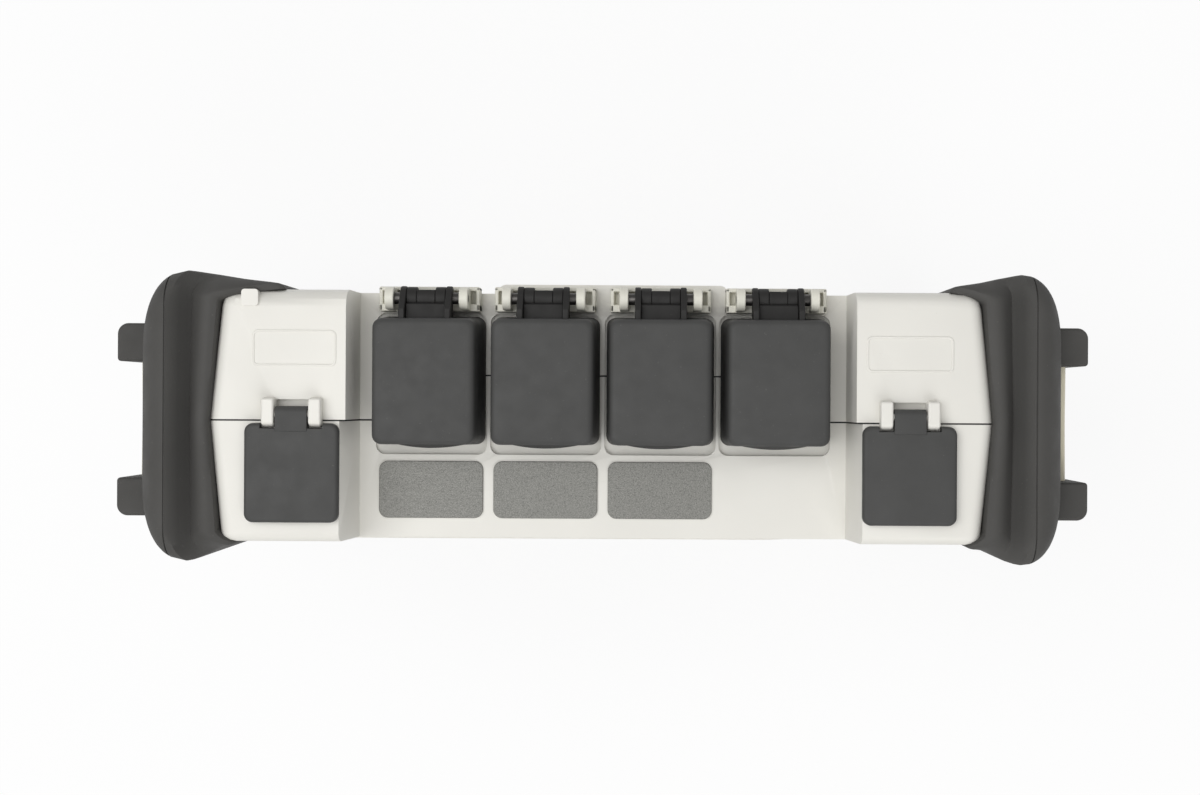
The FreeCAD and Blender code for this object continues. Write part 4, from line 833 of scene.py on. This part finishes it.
class OTDR_OT_adapters(bpy.types.Operator):
    """Build the fibre adapters with their ceramic sleeves"""
    bl_idname = "otdr.adapters"
    bl_label = "Fibre adapters"

    def execute(self, context):
        for number in PORTS:
            softened(["optical_adapter_%d" % number], 0.15 * MM)
            ferrule_sleeve(number)
        thread("optical_adapter_4")
        return {"FINISHED"}


class OTDR_OT_plates(bpy.types.Operator):
    """Build the three bare label plates"""
    bl_idname = "otdr.plates"
    bl_label = "Label plates"

    def execute(self, context):
        for number in PORTS[:3]:
            node = "label_plate_%d" % number
            low, high, _ = corners_of(node)
            moulded(node + "_piece", (low[0], high[0]), (low[1], high[1]), 2.3 * MM,
                    edged(low[2], high[2], 0.2 * MM), "plate_grey", smooth_below=60, replaces=(node,))
        return {"FINISHED"}


# ---------------------------------------------------------------- side covers and sockets
def cover_posts(name):
    """Two flat-topped posts and the pin between them; a post's outline leans in from its foot to its top."""
    node = "cover_bracket_" + name
    low, high, middle = corners_of(node)
    axle_y, axle_z = middle[1] + 0.3 * MM, high[2] - 2.4 * MM
    foot, top, width, radius = low[2] + 0.02 * MM, high[2] - 0.5 * MM, 3.2 * MM, 0.88 * MM
    outline = np.array([[low[1], foot], [low[1], axle_z], [low[1] + 0.9 * MM, top],
                        [high[1] + 1.2 * MM, top], [high[1] + 1.6 * MM, foot]])
    for label, start in (("inner", low[0]), ("outer", high[0] - width)):
        prism("%s_post_%s" % (node, label), outline, 0, (start, start + width), "shell_white",
              bevel=0.6 * MM, replaces=(node,))
    half = (high[0] - low[0]) / 2 - width + 0.1 * MM
    turned(node + "_pin", (middle[0], axle_y, axle_z), 0, [(-half, radius), (0, radius), (half, radius)],
           "shell_white", 24, smooth_below=50, replaces=(node,))


class OTDR_OT_side_covers(bpy.types.Operator):
    """Build the two side covers and the posts that carry them"""
    bl_idname = "otdr.side_covers"
    bl_label = "Side covers"

    def execute(self, context):
        for name, _ in SIDES:
            softened(["side_cover_" + name], context.scene.rubber_settings.cover_edge, body=None)
            cover_posts(name)
        return {"FINISHED"}


def contacts(node, count, pitch, width, y0, y1, z0, z1):
    """Row of gold contacts a pitch apart along X about a socket's middle; Y from there, Z from its mouth."""
    _, high, middle = corners_of(node)
    places = in_row((middle[0], middle[1], high[2]), count, pitch)
    blocks(node + "_contacts", places + [-width / 2, y0, z0], places + [width / 2, y1, z1], "contact_gold",
           bevel=0.04 * MM)


class OTDR_OT_sockets(bpy.types.Operator):
    """Build the sockets under the side covers with their contacts"""
    bl_idname = "otdr.sockets"
    bl_label = "Sockets"

    def execute(self, context):
        softened(("network_jack", "micro_usb_socket", "usb_socket", "power_jack"), 0.12 * MM)
        contacts("network_jack", 8, *np.array([1.1, 0.4, -4.25, -3.6, -9, -1.2]) * MM)
        contacts("usb_socket", 4, *np.array([2.4, 1.1, -0.95, -0.78, -8, -1.4]) * MM)
        return {"FINISHED"}


# ---------------------------------------------------------------- screen, lamps and keys
class OTDR_OT_screen(bpy.types.Operator):
    """Build the lens and the dark picture area inside its border"""
    bl_idname = "otdr.screen"
    bl_label = "Screen"

    def execute(self, context):
        softened(["display_lens"], 0.3 * MM)
        low, high, _ = corners_of("display_lens")
        border = context.scene.control_settings.screen_border
        moulded("screen_area", (low[0] + border, high[0] - border), (low[2] + border, high[2] - border), MM,
                [(0, low[1] + 0.1 * MM), (0, low[1] - 0.02 * MM), (0.05 * MM, low[1] - 0.03 * MM)],
                "screen_off", order=FACING_FRONT, smooth_below=60)
        return {"FINISHED"}


class OTDR_OT_lamps(bpy.types.Operator):
    """Build the domed ends of the four status lamps"""
    bl_idname = "otdr.lamps"
    bl_label = "Status lamps"

    def execute(self, context):
        low, high, middle = corners_of("lamp_windows")
        radius, dome = 1.4 * MM, 0.5 * MM
        margin = radius + MM
        turn = np.linspace(0, QUARTER, 7)
        dome_profile = together(-dome * np.sin(turn), radius * np.cos(turn) + 1e-5)
        profile = np.concatenate([[(0.4 * MM, radius)], dome_profile])
        for number, x in enumerate(np.linspace(low[0] + margin, high[0] - margin, 4), 1):
            turned("lamp_dome_%d" % number, (x, low[1] + 0.05 * MM, middle[2]), 1, profile, "lamp_clear", 24,
                   smooth_below=60)
        return {"FINISHED"}


def symbol(name, outline, node, rise):
    """Flat printed mark on a key: an outline in X and Z, in mm, about the key's middle."""
    low, _, middle = corners_of(node)
    prism(name, np.multiply(outline, MM) + middle[[0, 2]], 1, (low[1] + rise, low[1] - rise),
          "symbol_white", node)


def arc_band(inner, outer, start, end, count):
    """Outline of a band between two radii, from one angle to another."""
    return np.concatenate([arc_points((0, 0), outer, start, end, count),
                           arc_points((0, 0), inner, end, start, count)])


class OTDR_OT_keys(bpy.types.Operator):
    """Build the keys with their plain symbols"""
    bl_idname = "otdr.keys"
    bl_label = "Keys"

    def execute(self, context):
        control = context.scene.control_settings
        rise = control.symbol_rise
        softened([node for node, slot in SLOTS.items() if slot in ("key_power", "key_grey")],
                 control.key_edge, body=None)
        for name, way in (("up", (0, 1)), ("down", (0, -1)), ("left", (-1, 0)), ("right", (1, 0))):
            forward, across = np.array(way, float), np.array((-way[1], way[0]), float)
            arrow = [forward * 2.5, across * 1.7 - forward * 0.1, -across * 1.7 - forward * 0.1]
            symbol("arrow_key_%s_mark" % name, arrow, "arrow_key_" + name, rise)
        symbol("ok_key_mark", arc_band(2.0, 2.6, 0, 359.9, 40), "ok_key", rise)
        symbol("power_key_mark", arc_band(2.3, 2.9, 120, 420, 36), "power_key", rise)
        symbol("power_key_bar", [(-0.3, 0.6), (0.3, 0.6), (0.3, 3.4), (-0.3, 3.4)], "power_key", rise)
        dot = np.array([0.4 * MM, rise, 0.4 * MM])
        for number in range(1, 7):
            node = "function_key_%d" % number
            low, _, middle = corners_of(node)
            places = in_row((middle[0], low[1], middle[2]), number, 1.5 * MM)
            blocks(node + "_mark", places - dot, places + dot, "symbol_white", node)
        return {"FINISHED"}


# ---------------------------------------------------------------- back
def screw(name, x, y, z, radius):
    """Screw head facing back, on a polar grid: a low dome, a cross pressed in where |u| or |v| is small.

    Over the share s of the radius the dome is 0.25 x root of (1 - 0.9 s squared), less the cross's depth.
    """
    share = np.concatenate([np.linspace(0.04, 0.62, 15), np.linspace(0.66, 1.0, 8)])[:, None]
    angle = np.linspace(0, 2 * math.pi, 96, endpoint=False)
    circle_u, circle_v = np.cos(angle), np.sin(angle)
    nearest = np.minimum(np.abs(share * circle_u), np.abs(share * circle_v))
    cross = np.clip((0.14 - nearest) / 0.05, 0, 1) * np.clip((0.58 - share) / 0.06, 0, 1)
    height = 0.25 * np.sqrt(np.clip(1 - 0.9 * share ** 2, 0, 1)) - 0.22 * cross
    foot = np.array([[1.0], [0.5]])
    share = np.concatenate([share, foot])
    height = np.concatenate([height, np.full((2, len(angle)), -0.1)])
    skin(name, together(share * circle_u, height, share * circle_v) * radius + [x, y, z], "screw_zinc",
         smooth_below=35)


class OTDR_OT_back(bpy.types.Operator):
    """Build the kickstand with its foot, its pin, and the battery cover with its screws"""
    bl_idname = "otdr.back"
    bl_label = "Back"

    def execute(self, context):
        softened(["kickstand"], 0.5 * MM, body=None)
        softened(["battery_cover"], 0.4 * MM)
        pin("kickstand_pin")
        low, high, _ = corners_of("kickstand")
        inset = 9 * MM
        moulded("kickstand_foot", (low[0] + inset, high[0] - inset), (low[2] + 2.5 * MM, low[2] + 8 * MM),
                1.5 * MM, edged(high[1] - 1.6 * MM, high[1] - 0.2 * MM, 0.4 * MM), "bumper_rubber",
                "kickstand", order=FACING_FRONT, smooth_below=60)
        low, high, middle = corners_of("battery_cover")
        inset = 6 * MM
        for number, x in enumerate((low[0] + inset, high[0] - inset), 1):
            screw("battery_screw_%d" % number, x, high[1], high[2] - inset,
                  context.scene.control_settings.screw_radius)
        places = in_row((middle[0], high[1], low[2] + 9.5 * MM), 6, 1.8 * MM, 2)
        blocks("battery_cover_grips", places - np.array([9, 0.5, 0.4]) * MM,
               places + np.array([9, 0.35, 0.4]) * MM, "shell_white", bevel=0.25 * MM)
        return {"FINISHED"}


# ---------------------------------------------------------------- stage
def area_lamp(name, place, size, watts):
    """Soft square lamp at a place, turned towards the top of the tester."""
    data = bpy.data.lights.new(name, "AREA")
    data.shape = "RECTANGLE"
    data.size = data.size_y = size
    data.energy = watts
    lamp = bpy.data.objects.new(name, data)
    bpy.context.scene.collection.objects.link(lamp)
    lamp.location = place
    way = np.subtract((0, 0, 0.15), place)
    lamp.rotation_euler = (math.atan2(math.hypot(way[0], way[1]), -way[2]), 0,
                           math.atan2(way[1], way[0]) - QUARTER)


def floor_material(base):
    """Pale floor: lit like paper, and bright to the camera, to gloss and through glass, shadow kept."""
    material = bpy.data.materials.new("Floor paper")
    material.use_nodes = True
    tree = material.node_tree
    tree.nodes.clear()
    new, join = tree.nodes.new, tree.links.new
    output, paper, glow, mixed, path, *steps = (new("ShaderNode" + kind) for kind in (
        "OutputMaterial", "BsdfDiffuse", "Emission", "MixShader", "LightPath", "Math", "Math", "Math"))
    paper.inputs["Color"].default_value = (*base, 1)
    glow.inputs["Color"].default_value = (1, 1, 1, 1)
    glow.inputs["Strength"].default_value = 1.0
    share = path.outputs["Is Camera Ray"]
    for step, operation in zip(steps, ("MAXIMUM", "MAXIMUM", "MULTIPLY")):
        step.operation = operation
        join(share, step.inputs[0])
        share = step.outputs[0]
    join(path.outputs["Is Glossy Ray"], steps[0].inputs[1])
    join(path.outputs["Is Transmission Ray"], steps[1].inputs[1])
    steps[2].inputs[1].default_value = 0.86
    for number, source in enumerate((share, paper.outputs[0], glow.outputs[0])):
        join(source, mixed.inputs[number])
    join(mixed.outputs[0], output.inputs[0])
    return material


class OTDR_OT_stage(bpy.types.Operator):
    """Set the camera, the lamps, the floor and the view"""
    bl_idname = "otdr.stage"
    bl_label = "Stage"

    def execute(self, context):
        scene = context.scene
        stage = scene.stage_settings
        scene.view_settings.view_transform = "Standard"
        data = bpy.data.cameras.new("Camera")
        data.lens = stage.lens
        data.sensor_width = 36.0
        data.shift_x, data.shift_y = -50 / FRAME_WIDTH, 2.5 / FRAME_WIDTH
        data.clip_start = 0.01
        camera = bpy.data.objects.new("Camera", data)
        scene.collection.objects.link(camera)
        camera.location = (stage.camera_x, stage.camera_y, CAD_BOX[1][2] + stage.camera_rise)
        camera.rotation_euler = (0, 0, stage.roll)
        scene.camera = camera
        corners = np.array([(-1, -1, 0), (1, -1, 0), (1, 1, 0), (-1, 1, 0)]) * 3.0
        floor = bpy.data.meshes.new("Floor")
        floor.from_pydata(corners.tolist(), [], [(0, 1, 2, 3)])
        floor.materials.append(floor_material(stage.floor))
        piece = bpy.data.objects.new("Floor", floor)
        scene.collection.objects.link(piece)
        area_lamp("Key lamp", (-0.5, 0.05, 1.3), 1.0, 8.6)
        area_lamp("Fill lamp", (0.35, -0.85, 1.05), 0.9, 4.6)
        scene.world = bpy.data.worlds.new("Studio")
        scene.world.use_nodes = True
        background = scene.world.node_tree.nodes["Background"]
        background.inputs["Color"].default_value = (1, 1, 1, 1)
        background.inputs["Strength"].default_value = 0.44
        return {"FINISHED"}


# ---------------------------------------------------------------- panel and registration
class OTDR_OT_materials(bpy.types.Operator):
    """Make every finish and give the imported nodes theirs"""
    bl_idname = "otdr.materials"
    bl_label = "Finishes"

    def execute(self, context):
        make_materials(context.scene)
        dress_nodes()
        return {"FINISHED"}


STEPS = (OTDR_OT_stage, OTDR_OT_materials, OTDR_OT_shells, OTDR_OT_bumpers, OTDR_OT_port_caps,
         OTDR_OT_hinges, OTDR_OT_adapters, OTDR_OT_plates, OTDR_OT_side_covers, OTDR_OT_sockets,
         OTDR_OT_screen, OTDR_OT_lamps, OTDR_OT_keys, OTDR_OT_back)
SETTINGS = {"shell_settings": ShellSettings, "rubber_settings": RubberSettings,
            "control_settings": ControlSettings, "stage_settings": StageSettings}


class OTDR_PT_panel(bpy.types.Panel):
    """Lists the settings and the build steps"""
    bl_label = "Reflectometer"
    bl_idname = "OTDR_PT_panel"
    bl_space_type = "VIEW_3D"
    bl_region_type = "UI"
    bl_category = "Reflectometer"

    def draw(self, context):
        for step in STEPS:
            self.layout.operator(step.bl_idname)
        for settings in SETTINGS:
            group = getattr(context.scene, settings)
            box = self.layout.box()
            for name in group.__annotations__:
                box.prop(group, name)


def register():
    """Makes the settings, the operators and the panel known to Blender."""
    for name, group in SETTINGS.items():
        bpy.utils.register_class(group)
        setattr(bpy.types.Scene, name, PointerProperty(type=group))
    for step in STEPS:
        bpy.utils.register_class(step)
    bpy.utils.register_class(OTDR_PT_panel)


def unregister():
    """Takes them away again."""
    bpy.utils.unregister_class(OTDR_PT_panel)
    for step in reversed(STEPS):
        bpy.utils.unregister_class(step)
    for name, group in SETTINGS.items():
        delattr(bpy.types.Scene, name)
        bpy.utils.unregister_class(group)


def main():
    """Builds the whole tester."""
    register()
    for step in STEPS:
        getattr(bpy.ops.otdr, step.bl_idname.split(".")[1])()


if __name__ == "__main__":
    main()
